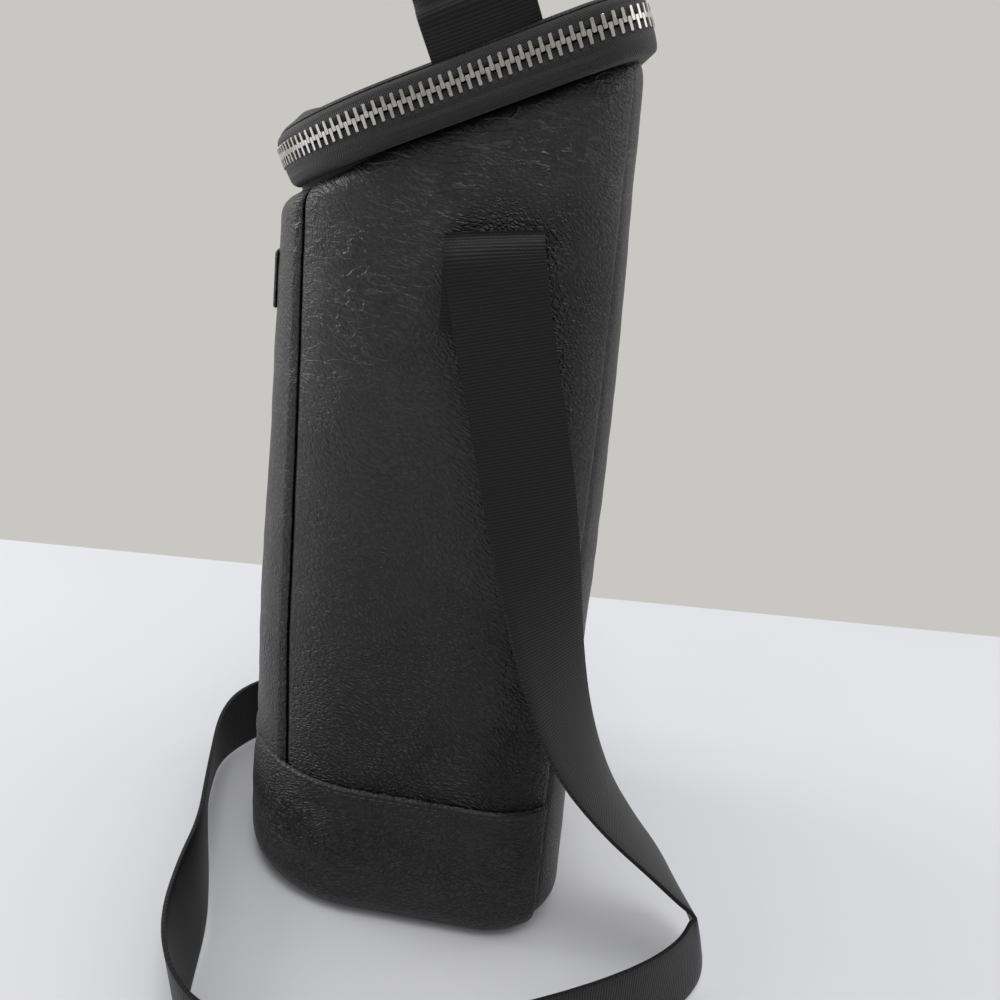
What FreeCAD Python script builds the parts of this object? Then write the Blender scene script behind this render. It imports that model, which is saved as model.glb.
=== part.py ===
import FreeCAD, Part
import math
import os

import Sketcher

V = FreeCAD.Vector
# How near an edge must lie to a level to count as on it, in millimetres
TOLERANCE = 1e-3

doc = FreeCAD.newDocument("bottle_carrier")
sheet = doc.addObject("Spreadsheet::Sheet", "Sizes")

# Driving dimensions in millimetres and degrees
SIZES = [
    # Soft body: a D-shaped tub, round at the front, leaning in towards the top
    ("half_width", 65.5), ("back_depth", 71.9), ("front_depth", 68),
    ("corner_radius", 34), ("nose_radius", 60), ("taper", 1.2), ("form_height", 380), ("base_radius", 12),
    # Plies of the wall, from the outside in
    ("leather", 1.6), ("ply_gap", 0.1), ("back_step", 0.8), ("foam", 4), ("lining", 0.8),
    ("board", 2), ("base_pad", 4),
    # Seams that part the wall into panels, each measured in from the side at the floor and at the form's top
    ("band_height", 60), ("band_lap", 40), ("seam_gap", 0.2),
    ("front_seam_low", 19.5), ("front_seam_high", 34.5), ("back_seam_low", 8), ("back_seam_high", 20),
    # Slanted rim, set by the middle plane of the closed zip
    ("rim_angle", 23.8), ("chain_height", 315),
    ("side_overhang", 3.2), ("back_overhang", -4), ("nose_overhang", -0.7),
    ("rim_corner_radius", 20), ("rim_nose_radius", 58),
    ("tape", 1), ("tape_drop", 10.8), ("tape_rise", 7), ("tape_flange", 10.4),
    ("hinge_width", 80), ("fold_line", 0.15),
    # Zip chain
    ("tooth_pitch", 3.2), ("tooth_width", 1.4), ("tooth_leg", 1.1), ("tooth_length", 3.5),
    ("tooth_cheek", 0.7), ("tooth_chamfer", 0.25),
    ("tape_edge", 1.2), ("tape_clearance", 0.05), ("head_overlap", 0.7), ("head_part", 0.6), ("end_stop", 4),
    # Slider and puller
    ("slider_length", 11), ("slider_height", 7), ("slider_plate", 1.3), ("slider_clearance", 0.35),
    ("plate_round", 0.5), ("wedge", 0.8), ("slider_place", 41), ("slider_travel", 20),
    ("lug_height", 3.4), ("lug_width", 2.4), ("lug_round", 1),
    ("pin_bore", 2.2), ("wire", 1.6), ("link_length", 12), ("link_width", 9),
    ("tab_length", 42), ("tab_width", 13), ("tab", 3.6), ("tab_round", 3),
    # Lid
    ("lid_edge", 0.5), ("lid_leather", 1.8), ("lid_board", 1), ("lid_pad", 3), ("lid_lining", 0.8),
    ("lid_pad_inset", 8), ("lid_crown", 4.2), ("lid_crown_inset", 6), ("lid_crown_slope", 65),
    # Webbing: grab handle, shoulder strap and its sewn ends
    ("webbing", 32), ("webbing_ply", 1.6), ("handle_span", 115), ("handle_rise", 44),
    ("handle_bend", 32), ("handle_place", 16.2), ("handle_lift", 0.3),
    ("anchor_place", 19.2), ("anchor_top", 272), ("anchor_height", 31), ("anchor_tilt", 4),
    ("fold_gap", 1.2), ("fold_lip", 2),
    # Bare plate on the front
    ("plate_width", 30), ("plate_height", 22), ("plate_middle", 246), ("plate_thickness", 1.2),
    # Room that every cutting solid runs past what it cuts
    ("overrun", 60),
]
for row, (alias, value) in enumerate(SIZES, 1):
    sheet.set("A%d" % row, alias)
    sheet.set("B%d" % row, str(value))
    sheet.setAlias("B%d" % row, alias)
doc.recompute()


def size(expression):
    """The number that an expression of the sheet's aliases comes to."""
    result = sheet.evalExpression(expression)
    return float(getattr(result, "Value", result))


def cell(expression):
    """The expression with each alias pointed at the sheet, as other objects need it."""
    words = {alias for alias, _ in SIZES}
    out, word = "", ""
    for letter in expression + " ":
        if letter.isalnum() or letter == "_":
            word += letter
            continue
        out += ("Sizes." + word if word in words else word) + letter
        word = ""
    return out.strip()


def bind(thing, **expressions):
    for prop, expression in expressions.items():
        thing.setExpression(prop.replace("__", "."), cell(expression))


# Outline of the tub and of the rim
class Outline:
    """A D: straight back, two round back corners, straight sides and a round nose, as expressions."""

    def __init__(self, half_width, back, front, corner, nose):
        self.half_width, self.back, self.front = half_width, back, front
        self.corner, self.nose = corner, nose

    def inset(self, by):
        shrunk = ["(%s) - (%s)" % (part, by) for part in (self.half_width, self.back, self.front,
                                                         self.corner, self.nose)]
        return Outline(*shrunk)

    def numbers(self):
        names = (self.half_width, self.back, self.front, self.corner, self.nose)
        return [size(name) for name in names]

    def points(self):
        """Centres of the right corner and the nose, and the angle of the side's outward normal."""
        half_width, back, front, corner, nose = self.numbers()
        corner_centre = V(half_width - corner, back - corner, 0)
        nose_centre = V(0, nose - front, 0)
        gap = corner_centre - nose_centre
        side = math.atan2(gap.y, gap.x) - math.acos((nose - corner) / gap.Length)
        return corner_centre, nose_centre, side


TUB = Outline("half_width", "back_depth", "front_depth", "corner_radius", "nose_radius")
# The rim is the slanted cut through the leaning tub, let out or in at its sides, back and nose
LEVEL_BACK = "(back_depth - chain_height * tan(taper))"
LEVEL_FRONT = "(front_depth - chain_height * tan(taper))"
SLANT = "tan(rim_angle) * tan(taper)"
RIM = Outline("half_width - chain_height * tan(taper) + side_overhang",
              LEVEL_BACK + " / (1 + " + SLANT + ") / cos(rim_angle) + back_overhang",
              LEVEL_FRONT + " / (1 - " + SLANT + ") / cos(rim_angle) + nose_overhang",
              "rim_corner_radius", "rim_nose_radius")


def plane_of(body, role):
    return next(item for item in body.Origin.OriginFeatures if item.Role == role)


def new_sketch(body, name, role="XY_Plane", level="0"):
    sketch = body.newObject("Sketcher::SketchObject", name)
    sketch.AttachmentSupport = [(plane_of(body, role), "")]
    sketch.MapMode = "FlatFace"
    bind(sketch, AttachmentOffset__Base__z=level)
    return sketch


def draw_outline(sketch, outline):
    _, back, front, corner, nose = outline.numbers()
    right, middle, side = outline.points()
    left = V(-right.x, right.y, 0)
    up = V(0, 0, 1)
    normal = V(math.cos(side), math.sin(side), 0)
    mirror = V(-normal.x, normal.y, 0)
    quarter = math.pi / 2
    sketch.addGeometry([
        Part.LineSegment(left + V(0, corner, 0), right + V(0, corner, 0)),
        Part.ArcOfCircle(Part.Circle(right, up, corner), side, quarter),
        Part.LineSegment(right + normal * corner, middle + normal * nose),
        Part.ArcOfCircle(Part.Circle(middle, up, nose), math.pi - side, 2 * math.pi + side),
        Part.LineSegment(middle + mirror * nose, left + mirror * corner),
        Part.ArcOfCircle(Part.Circle(left, up, corner), quarter, math.pi - side)], False)
    for joint in ((0, 2, 1, 2), (1, 1, 2, 1), (2, 2, 3, 2), (3, 1, 4, 1), (4, 2, 5, 2), (5, 1, 0, 1)):
        sketch.addConstraint(Sketcher.Constraint("Tangent", *joint))
    sketch.addConstraint(Sketcher.Constraint("Symmetric", 5, 3, 1, 3, -2))
    sketch.addConstraint(Sketcher.Constraint("PointOnObject", 3, 3, -2))
    measures = (("Radius", (1,), corner, outline.corner),
                ("Radius", (5,), corner, outline.corner),
                ("Radius", (3,), nose, outline.nose),
                ("DistanceX", (5, 3, 1, 3), 2 * right.x,
                 "2 * ((%s) - (%s))" % (outline.half_width, outline.corner)),
                ("DistanceY", (3, 3, 0, 1), back + front - nose,
                 "(%s) + (%s) - (%s)" % (outline.back, outline.front, outline.nose)),
                ("DistanceY", (-1, 1, 0, 1), back, outline.back))
    for kind, places, value, expression in measures:
        index = sketch.addConstraint(Sketcher.Constraint(kind, *places, value))
        sketch.setExpression("Constraints[%d]" % index, cell(expression))


def new_body(name, slanted=False):
    body = doc.addObject("PartDesign::Body", name)
    if slanted:
        bind(body, Placement__Base__z="chain_height", Placement__Rotation__Angle="rim_angle")
        body.Placement = FreeCAD.Placement(V(0, 0, size("chain_height")),
                                           FreeCAD.Rotation(V(1, 0, 0), size("rim_angle")))
    return body


def pad(body, sketch, length, **options):
    feature = body.newObject("PartDesign::Pad", sketch.Name + "_pad")
    feature.Profile = sketch
    bind(feature, Length=length)
    for prop, value in options.items():
        if isinstance(value, str):
            bind(feature, **{prop: value})
        else:
            setattr(feature, prop, value)
    sketch.Visibility = False
    body.Tip = feature
    return feature


def round_edges(body, feature, radius, chosen):
    """Round the edges of a feature that a test on their boxes chooses."""
    doc.recompute()
    names = ["Edge%d" % (number + 1) for number, edge in enumerate(feature.Shape.Edges)
             if chosen(edge.BoundBox)]
    fillet = body.newObject("PartDesign::Fillet", feature.Name + "_round")
    fillet.Base = (feature, names)
    bind(fillet, Radius=radius)
    body.Tip = fillet
    return fillet


def tub_core(name, inset, floor, radius=None):
    """A leaning D-shaped block, one surface of a ply, with a round bottom edge if it has a radius."""
    body = new_body(name)
    sketch = new_sketch(body, name + "_outline", level=floor)
    draw_outline(sketch, TUB.inset("(%s) + (%s) * tan(taper)" % (inset, floor)))
    block = pad(body, sketch, "form_height - (%s)" % floor, TaperAngle="-taper")
    if radius:
        low = size(floor)
        round_edges(body, block, radius, lambda box: box.ZMax < low + TOLERANCE)
    return body


def rim_block(name, inset, low, high, radius=None):
    """A block of the rim's outline, inset, between two heights over the zip's middle plane."""
    body = new_body(name, slanted=True)
    sketch = new_sketch(body, name + "_outline", level=low)
    draw_outline(sketch, RIM.inset(inset))
    block = pad(body, sketch, "(%s) - (%s)" % (high, low))
    if radius:
        top = size(high)
        round_edges(body, block, radius, lambda box: box.ZMin > top - TOLERANCE)
    return body


def box_block(name, low, high, slanted=False):
    """A box between two corners, each given as three expressions."""
    body = new_body(name, slanted)
    sketch = new_sketch(body, name + "_outline", level=low[2])
    corners = [V(size(x), size(y), 0) for x, y in ((low[0], low[1]), (high[0], low[1]),
                                                   (high[0], high[1]), (low[0], high[1]))]
    sketch.addGeometry([Part.LineSegment(corners[side], corners[(side + 1) % 4]) for side in range(4)],
                       False)
    for side in range(4):
        sketch.addConstraint(Sketcher.Constraint("Coincident", side, 2, (side + 1) % 4, 1))
    for side, kind in enumerate(("Horizontal", "Vertical", "Horizontal", "Vertical")):
        sketch.addConstraint(Sketcher.Constraint(kind, side))
    places = (("DistanceX", 0, 1, corners[0].x, low[0]), ("DistanceY", 0, 1, corners[0].y, low[1]),
              ("DistanceX", 2, 1, corners[2].x, high[0]), ("DistanceY", 2, 1, corners[2].y, high[1]))
    for kind, line, end, value, expression in places:
        index = sketch.addConstraint(Sketcher.Constraint(kind, -1, 1, line, end, value))
        sketch.setExpression("Constraints[%d]" % index, cell(expression))
    pad(body, sketch, "(%s) - (%s)" % (high[2], low[2]))
    return body


def cut(name, base, tool):
    feature = doc.addObject("Part::Cut", name)
    feature.Base, feature.Tool = base, tool
    return feature


def common(name, base, tool):
    feature = doc.addObject("Part::Common", name)
    feature.Base, feature.Tool = base, tool
    return feature


nodes = []


def node(feature, name):
    feature.Label = name
    nodes.append(feature)
    return feature


# Cutting solids
WIDE = "half_width + overrun"
DEEP = "back_depth + overrun"
HIGH = "form_height + overrun"


def panel_wedge(name, half_low, half_high, gap, sign):
    """Everything between two seams that draw together upwards, on the front or the back."""
    body = new_body(name)
    sketch = new_sketch(body, name + "_outline", "XZ_Plane")
    low = size(half_low) + size(gap)
    high = size(half_high) + size(gap)
    top = size("form_height")
    drop = size("overrun")
    spread = (low - high) / top * drop
    ends = [V(-low - spread, -drop, 0), V(low + spread, -drop, 0), V(high, top, 0), V(-high, top, 0)]
    sketch.addGeometry([Part.LineSegment(ends[side], ends[(side + 1) % 4]) for side in range(4)], False)
    for side in range(4):
        sketch.addConstraint(Sketcher.Constraint("Coincident", side, 2, (side + 1) % 4, 1))
    wide = "(%s) + (%s) + ((%s) - (%s)) * overrun / form_height" % (half_low, gap, half_low, half_high)
    narrow = "(%s) + (%s)" % (half_high, gap)
    places = ((0, "-(%s)" % wide, "-overrun"), (1, wide, "-overrun"),
              (2, narrow, "form_height"), (3, "-(%s)" % narrow, "form_height"))
    for line, across, height in places:
        for kind, value, expression in (("DistanceX", ends[line].x, across),
                                        ("DistanceY", ends[line].y, height)):
            index = sketch.addConstraint(Sketcher.Constraint(kind, -1, 1, line, 1, value))
            sketch.setExpression("Constraints[%d]" % index, cell(expression))
    pad(body, sketch, DEEP, Reversed=sign > 0)
    return body


FRONT_SEAM = ("half_width - front_seam_low", "half_width - front_seam_high")
BACK_SEAM = ("half_width - back_seam_low", "half_width - back_seam_high")
front_wedge = panel_wedge("front_wedge", *FRONT_SEAM, "0", -1)
front_gap = panel_wedge("front_gap", *FRONT_SEAM, "seam_gap", -1)
back_wedge = panel_wedge("back_wedge", *BACK_SEAM, "0", 1)
back_gap = panel_wedge("back_gap", *BACK_SEAM, "seam_gap", 1)
RIM_SEAT = "-tape_drop - ply_gap"
above_seat = box_block("above_seat", ("-(%s)" % WIDE, "-(%s)" % HIGH, RIM_SEAT), (WIDE, HIGH, HIGH), True)
BAND_LOW = "band_height - band_lap"
below_lap = box_block("below_lap", ("-(%s)" % WIDE, "-(%s)" % DEEP, "-overrun"), (WIDE, DEEP, BAND_LOW))
above_band = box_block("above_band", ("-(%s)" % WIDE, "-(%s)" % DEEP, "band_height"), (WIDE, DEEP, HIGH))

# Surfaces between the plies, from the outside in
SKIN = "leather + ply_gap"
BACK = SKIN + " + back_step"
BACK_IN = BACK + " + leather"
PAD_OUT = BACK_IN + " + ply_gap"
PAD_IN = PAD_OUT + " + foam"
LINING_OUT = PAD_IN + " + ply_gap"
LINING_IN = LINING_OUT + " + lining"
BACK_FLOOR = "back_step + ply_gap"
BOARD_LOW = BACK_FLOOR + " + leather + ply_gap"
BOARD_HIGH = BOARD_LOW + " + board"
PAD_LOW = BOARD_HIGH + " + ply_gap"
PAD_HIGH = PAD_LOW + " + base_pad"
BASE_LINING_LOW = PAD_HIGH + " + ply_gap"
BASE_LINING_HIGH = BASE_LINING_LOW + " + lining"
outer_core = tub_core("outer_core", "0", "0", "base_radius")
outer_inner = tub_core("outer_inner", "leather", "leather", "base_radius - leather")
skin_core = tub_core("skin_core", SKIN, "0")
skin_inner = tub_core("skin_inner", SKIN + " + leather", "0")
back_core = tub_core("back_core", BACK, BACK_FLOOR, "base_radius - (%s)" % BACK)
back_inner = tub_core("back_inner", BACK_IN, BACK_FLOOR + " + leather", "base_radius - (%s)" % BACK_IN)
pad_core = tub_core("pad_core", PAD_OUT, BOARD_LOW, "base_radius - (%s)" % PAD_OUT)
pad_inner = tub_core("pad_inner", PAD_IN, "0")
lining_core = tub_core("lining_core", LINING_OUT, "0")
lining_inner = tub_core("lining_inner", LINING_IN, "0")
foot_core = tub_core("foot_core", "base_radius", "0")

# Outer leather: panels lapped by the base band
outer_ply = cut("outer_ply", outer_core, outer_inner)
skin_ply = cut("skin_ply", cut("skin_tube", cut("skin_shell", skin_core, skin_inner), above_seat), below_lap)
back_ply = cut("back_ply", cut("back_shell", back_core, back_inner), above_seat)
band_ring = cut("band_ring", cut("band_low", cut("band_open", outer_ply, back_gap), above_band), foot_core)
node(band_ring, "base_band")
node(common("front_cloth", skin_ply, front_wedge), "front_panel")
node(cut("back_cloth", common("back_field", back_ply, back_wedge), foot_core), "back_panel")
side_pair = cut("side_pair", cut("side_rear", skin_ply, back_gap), front_gap)
right_half = box_block("right_half", ("0", "-(%s)" % DEEP, "-overrun"), (WIDE, DEEP, HIGH))
left_half = box_block("left_half", ("-(%s)" % WIDE, "-(%s)" % DEEP, "-overrun"), ("0", DEEP, HIGH))
node(common("side_cloth_right", side_pair, right_half), "side_panel_right")
node(common("side_cloth_left", side_pair, left_half), "side_panel_left")


def base_sheet(name, inset, low, high):
    """A flat sheet of the tub's outline in the stack of the base."""
    body = new_body(name)
    sketch = new_sketch(body, name + "_outline", level=low)
    draw_outline(sketch, TUB.inset("(%s) + (%s) * tan(taper)" % (inset, high)))
    pad(body, sketch, "(%s) - (%s)" % (high, low))
    return node(body, name)


base_sheet("base_panel", "base_radius + ply_gap", "0", "leather")
base_sheet("base_board", "base_radius", BOARD_LOW, BOARD_HIGH)
base_sheet("base_pad", PAD_IN + " + ply_gap", PAD_LOW, PAD_HIGH)
base_sheet("base_lining", LINING_IN + " + ply_gap", BASE_LINING_LOW, BASE_LINING_HIGH)

# Padding and lining of the wall
below_pad = box_block("below_pad", ("-(%s)" % WIDE, "-(%s)" % DEEP, "-overrun"), (WIDE, DEEP, PAD_LOW))
below_lining = box_block("below_lining", ("-(%s)" % WIDE, "-(%s)" % DEEP, "-overrun"),
                         (WIDE, DEEP, BASE_LINING_LOW))
pad_ring = cut("pad_ring", cut("pad_top", cut("pad_shell", pad_core, pad_inner), above_seat), below_pad)
node(pad_ring, "wall_padding")
lining_ring = cut("lining_ring", cut("lining_top", cut("lining_shell", lining_core, lining_inner),
                                     above_seat), below_lining)
node(lining_ring, "wall_lining")

# Zip tapes: a wall round the rim with a flange turned in, open at the back for the hinge strip
HINGE_HALF = "hinge_width / 2"
hinge_gap = box_block("hinge_gap", ("-(%s) - ply_gap" % HINGE_HALF, "0", "-tape_drop + tape"),
                      ("(%s) + ply_gap" % HINGE_HALF, "back_depth + overrun", "overrun"), True)


def tape_ring(name, low, high, flange_low, flange_high):
    wall = cut(name + "_wall", rim_block(name + "_out", "0", low, high),
               rim_block(name + "_in", "tape", "(%s) - tape" % low, "(%s) + tape" % high))
    flange = cut(name + "_flange", rim_block(name + "_flange_out", "0", flange_low, flange_high),
                 rim_block(name + "_mouth", "tape_flange", "(%s) - tape" % flange_low,
                           "(%s) + tape" % flange_high))
    ring = doc.addObject("Part::Fuse", name + "_ring")
    ring.Base, ring.Tool = wall, flange
    return ring


body_tape = tape_ring("body_tape", "-tape_drop", "-tape_edge", "-tape_drop", "-tape_drop + tape")
node(cut("body_tape_open", body_tape, hinge_gap), "zip_tape_body")
lid_tape = tape_ring("lid_tape", "tape_edge", "tape_rise", "tape_rise - tape", "tape_rise")
lid_gap = box_block("lid_gap", ("-(%s) - ply_gap" % HINGE_HALF, "0", "-overrun"),
                    ("(%s) + ply_gap" % HINGE_HALF, "back_depth + overrun", "overrun"), True)
lid_flange_keep = rim_block("lid_flange_keep", "leather + ply_gap",
                            "tape_rise - tape * 2", "tape_rise + tape")
lid_back_cut = cut("lid_back_cut", lid_gap, lid_flange_keep)
node(cut("lid_tape_open", lid_tape, lid_back_cut), "zip_tape_lid")

# Hinge strip of leather between the zip's ends: its two halves meet at the fold, in the zip's plane
strip_keep = box_block("strip_keep", ("-(%s)" % HINGE_HALF, "0", "-overrun"),
                       (HINGE_HALF, "back_depth + overrun", "overrun"), True)


def hinge_strip(name, low, high):
    wall = cut(name + "_wall", rim_block(name + "_out", "0", low, high),
               rim_block(name + "_in", "leather", "-overrun", "overrun"))
    return node(common(name + "_strip", wall, strip_keep), name)


hinge_strip("hinge_strip_lower", "-tape_drop + tape + ply_gap", "-fold_line")
hinge_strip("hinge_strip_upper", "fold_line", "tape_rise - ply_gap")


# Zip teeth: two staggered rows that ride astride the tapes' edges and mesh in the middle
class RimPath:
    """Places along the rim at the middle of the tape, from one end of the zip round the nose to the other."""

    def __init__(self, inset, half_gap):
        _, self.back, _, corner, nose = RIM.inset(inset).numbers()
        right, middle, side = RIM.inset(inset).points()
        self.start = half_gap
        self.corner, self.nose = corner, nose
        self.right, self.middle, self.side = right, middle, side
        self.flat = right.x - half_gap
        self.bend = corner * (math.pi / 2 - side)
        normal = V(math.cos(side), math.sin(side), 0)
        self.run = (right + normal * corner - middle - normal * nose).Length
        self.half_nose = nose * (math.pi / 2 + side)
        self.half = self.flat + self.bend + self.run + self.half_nose

    def right_half(self, along):
        """Point and outward angle, on the right half, at a length from its end at the back."""
        if along < self.flat:
            return V(self.start + along, self.back, 0), math.pi / 2
        along -= self.flat
        if along < self.bend:
            angle = math.pi / 2 - along / self.corner
            return self.right + V(math.cos(angle), math.sin(angle), 0) * self.corner, angle
        along -= self.bend
        normal = V(math.cos(self.side), math.sin(self.side), 0)
        if along < self.run:
            forward = V(normal.y, -normal.x, 0)
            return self.right + normal * self.corner + forward * along, self.side
        angle = self.side - (along - self.run) / self.nose
        return self.middle + V(math.cos(angle), math.sin(angle), 0) * self.nose, angle

    def place(self, along):
        if along <= self.half:
            return self.right_half(along)
        point, angle = self.right_half(2 * self.half - along)
        return V(-point.x, point.y, 0), math.pi - angle

    def along_left_side(self, height):
        """Length along the path at which the left side reaches a place up the slope."""
        normal = V(math.cos(self.side), math.sin(self.side), 0)
        top = self.right + normal * self.corner
        return 2 * self.half - (self.flat + self.bend + (top.y - height) / normal.x)


SLANTED = FreeCAD.Placement(V(0, 0, size("chain_height")),
                            FreeCAD.Rotation(V(1, 0, 0), size("rim_angle")))
path = RimPath("tape / 2", size(HINGE_HALF) + size("end_stop"))


def standing(point, angle):
    """Placement on the rim: X along the zip, Y outward, Z up from the zip's plane."""
    turn = FreeCAD.Rotation(V(0, 0, 1), math.degrees(angle - math.pi / 2))
    return SLANTED.multiply(FreeCAD.Placement(point, turn))


def tooth(reach, side):
    """One tooth: a wide head that reaches past its tape and a narrower leg on each face of it."""
    slot = size("tape") / 2 + size("tape_clearance")
    cheek = slot + size("tooth_cheek")
    edge = size("tape_edge") - size("tape_clearance")
    length = size("tooth_length")
    head = size("tooth_width") / 2
    leg = size("tooth_leg") / 2
    chamfer = size("tooth_chamfer")
    right = [(head - chamfer, -reach), (head, chamfer - reach), (head, edge - chamfer), (leg, edge),
             (leg, length - chamfer), (leg - chamfer, length)]
    ring = right + [(-across, up) for across, up in reversed(right)]
    wire = Part.makePolygon([V(across, -cheek, side * up) for across, up in ring + ring[:1]])
    blank = Part.Face(wire).extrude(V(0, 2 * cheek, 0))
    low = min(side * edge, side * (edge + length))
    return blank.cut(Part.makeBox(2 * head, 2 * slot, length, V(-head, -slot, low)))


def tooth_row(side, phase_share):
    pitch = size("tooth_pitch")
    slider = path.along_left_side(size("slider_place"))
    margin = size("slider_length") / 2 + pitch
    meshed_tooth = tooth(size("head_overlap"), side)
    parted_tooth = tooth(-size("head_part"), side)
    teeth = []
    for step in range(int(2 * path.half / pitch)):
        along = (step + phase_share) * pitch
        parted = slider - size("slider_travel") - margin < along < slider + margin
        shape = parted_tooth.copy() if parted else meshed_tooth.copy()
        shape.Placement = standing(*path.place(along))
        teeth.append(shape)
    return Part.makeCompound(teeth)


def feature_of(name, shape):
    feature = doc.addObject("Part::Feature", name)
    feature.Shape = shape
    return node(feature, name)


BODY_PHASE_SHARE, LID_PHASE_SHARE = 0.25, 0.75
feature_of("zip_teeth_body", tooth_row(-1, BODY_PHASE_SHARE))
feature_of("zip_teeth_lid", tooth_row(1, LID_PHASE_SHARE))


def end_stops(side, phase_share):
    """A metal clamp on the tape one pitch beyond each end of a row."""
    slot = size("tape") / 2 + size("tape_clearance")
    cheek = slot + size("tooth_cheek")
    length = size("tooth_length")
    edge = size("tape_edge") - size("tape_clearance")
    wide = size("tooth_width")
    pitch = size("tooth_pitch")
    stops = []
    for step in (-1, int(2 * path.half / pitch)):
        profile = [(cheek, length), (cheek, size("tape_clearance")), (-cheek, size("tape_clearance")),
                   (-cheek, length), (-slot, length), (-slot, edge), (slot, edge), (slot, length)]
        ring = [V(-wide / 2, out, side * up) for out, up in profile + profile[:1]]
        stop = Part.Face(Part.makePolygon(ring)).extrude(V(wide, 0, 0))
        stop.Placement = standing(*path.place((step + phase_share) * pitch))
        stops.append(stop)
    return Part.makeCompound(stops)


feature_of("zip_stops_body", end_stops(-1, BODY_PHASE_SHARE))
feature_of("zip_stops_lid", end_stops(1, LID_PHASE_SHARE))


# Slider on the left side of the rim: two plates joined by the wedge that parts the rows
def slab(low, high):
    return Part.makeBox(high.x - low.x, high.y - low.y, high.z - low.z, low)


slider_seat = standing(*path.place(path.along_left_side(size("slider_place"))))
TOOTH_OUT = size("tape") / 2 + size("tape_clearance") + size("tooth_cheek") + size("slider_clearance")
PLATE_OUT = TOOTH_OUT + size("slider_plate")
half_long = size("slider_length") / 2
half_high = size("slider_height") / 2
# A shield seen from the side: narrow towards the meshed chain, broad at the shoulders that part it
SHIELD_SHARES = [(-1, -0.6), (-0.8, -0.75), (0.2, -1), (0.7, -1), (1, -0.65)]
ring_shares = SHIELD_SHARES + [(along, -up) for along, up in reversed(SHIELD_SHARES)]


def shield(out):
    """One plate of the slider, its inner face at a distance from the zip's middle."""
    ring = [V(along * half_long, out, up * half_high) for along, up in ring_shares + ring_shares[:1]]
    plate = Part.Face(Part.makePolygon(ring)).extrude(V(0, size("slider_plate"), 0))
    upright = [edge for edge in plate.Edges if edge.BoundBox.YLength > size("slider_plate") / 2]
    return plate.makeFillet(size("plate_round"), upright)


wedge_web = slab(V(-half_long / 2, -TOOTH_OUT, -size("wedge") / 2),
                 V(half_long / 2, TOOTH_OUT, size("wedge") / 2))
lug_top = PLATE_OUT + size("lug_height")
lug_half = size("lug_width") / 2 + size("pin_bore") / 2
lug_block = slab(V(-lug_half, PLATE_OUT, -size("lug_width")), V(lug_half, lug_top, size("lug_width")))
lug_brows = [edge for edge in lug_block.Edges
             if edge.BoundBox.YMin > PLATE_OUT and edge.BoundBox.ZLength > lug_half]
lug = lug_block.makeFillet(size("lug_round"), lug_brows)
eye_middle = PLATE_OUT + size("lug_height") / 2
lug_eye = Part.makeCylinder(size("pin_bore") / 2, 2 * size("slider_length"),
                            V(-size("slider_length"), eye_middle, 0), V(1, 0, 0))
slider_shape = shield(TOOTH_OUT).fuse([shield(-PLATE_OUT), wedge_web, lug]).cut(lug_eye)
slider_shape = slider_shape.removeSplitter()
slider_shape.Placement = slider_seat
feature_of("zip_slider", slider_shape)

# Puller: a wire loop through the slider's eye and a leather tab on it
wire_radius = size("wire") / 2
half_loop = size("link_width") / 2
drop = size("link_length")
loop_bend = 2 * wire_radius


def wire_loop():
    """A closed rectangular wire loop with round corners, hanging from the slider's eye."""
    ends = [V(-half_loop, eye_middle, 0), V(half_loop, eye_middle, 0),
            V(half_loop, eye_middle, -drop), V(-half_loop, eye_middle, -drop)]
    edges = []
    for place in range(4):
        before, here, after = ends[place - 1], ends[place], ends[(place + 1) % 4]
        back = (before - here).normalize() * loop_bend
        ahead = (after - here).normalize() * loop_bend
        onward = (here - after).normalize() * loop_bend
        middle = here + (back + ahead) * (1 - math.sqrt(0.5))
        edges.append(Part.Arc(here + back, middle, here + ahead).toShape())
        edges.append(Part.LineSegment(here + ahead, after + onward).toShape())
    spine = Part.Wire(edges)
    start = edges[1].Vertexes[0].Point
    ring = Part.Wire([Part.makeCircle(wire_radius, start, edges[1].tangentAt(edges[1].FirstParameter))])
    return spine.makePipeShell([ring], True, False)


loop = wire_loop()
loop.Placement = slider_seat
feature_of("puller_link", loop)
tab_top = -drop + loop_bend + size("wire")
half_tab = size("tab") / 2
tab_plate = slab(V(-size("tab_width") / 2, eye_middle - half_tab, -drop - size("tab_length")),
                 V(size("tab_width") / 2, eye_middle + half_tab, tab_top))
foot_edges = [edge for edge in tab_plate.Edges if edge.BoundBox.YLength > half_tab
              and edge.BoundBox.ZMax < -drop]
tab_shape = tab_plate.makeFillet(size("tab_round"), foot_edges)
slot_room = size("ply_gap")
tab_slot = slab(V(-half_loop - wire_radius - slot_room, eye_middle - wire_radius - slot_room,
                  -drop - wire_radius - slot_room),
                V(half_loop + wire_radius + slot_room, eye_middle + wire_radius + slot_room,
                  tab_top + size("overrun")))
tab_shape = tab_shape.cut(tab_slot)
tab_shape.Placement = slider_seat
feature_of("puller_tab", tab_shape)

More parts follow.
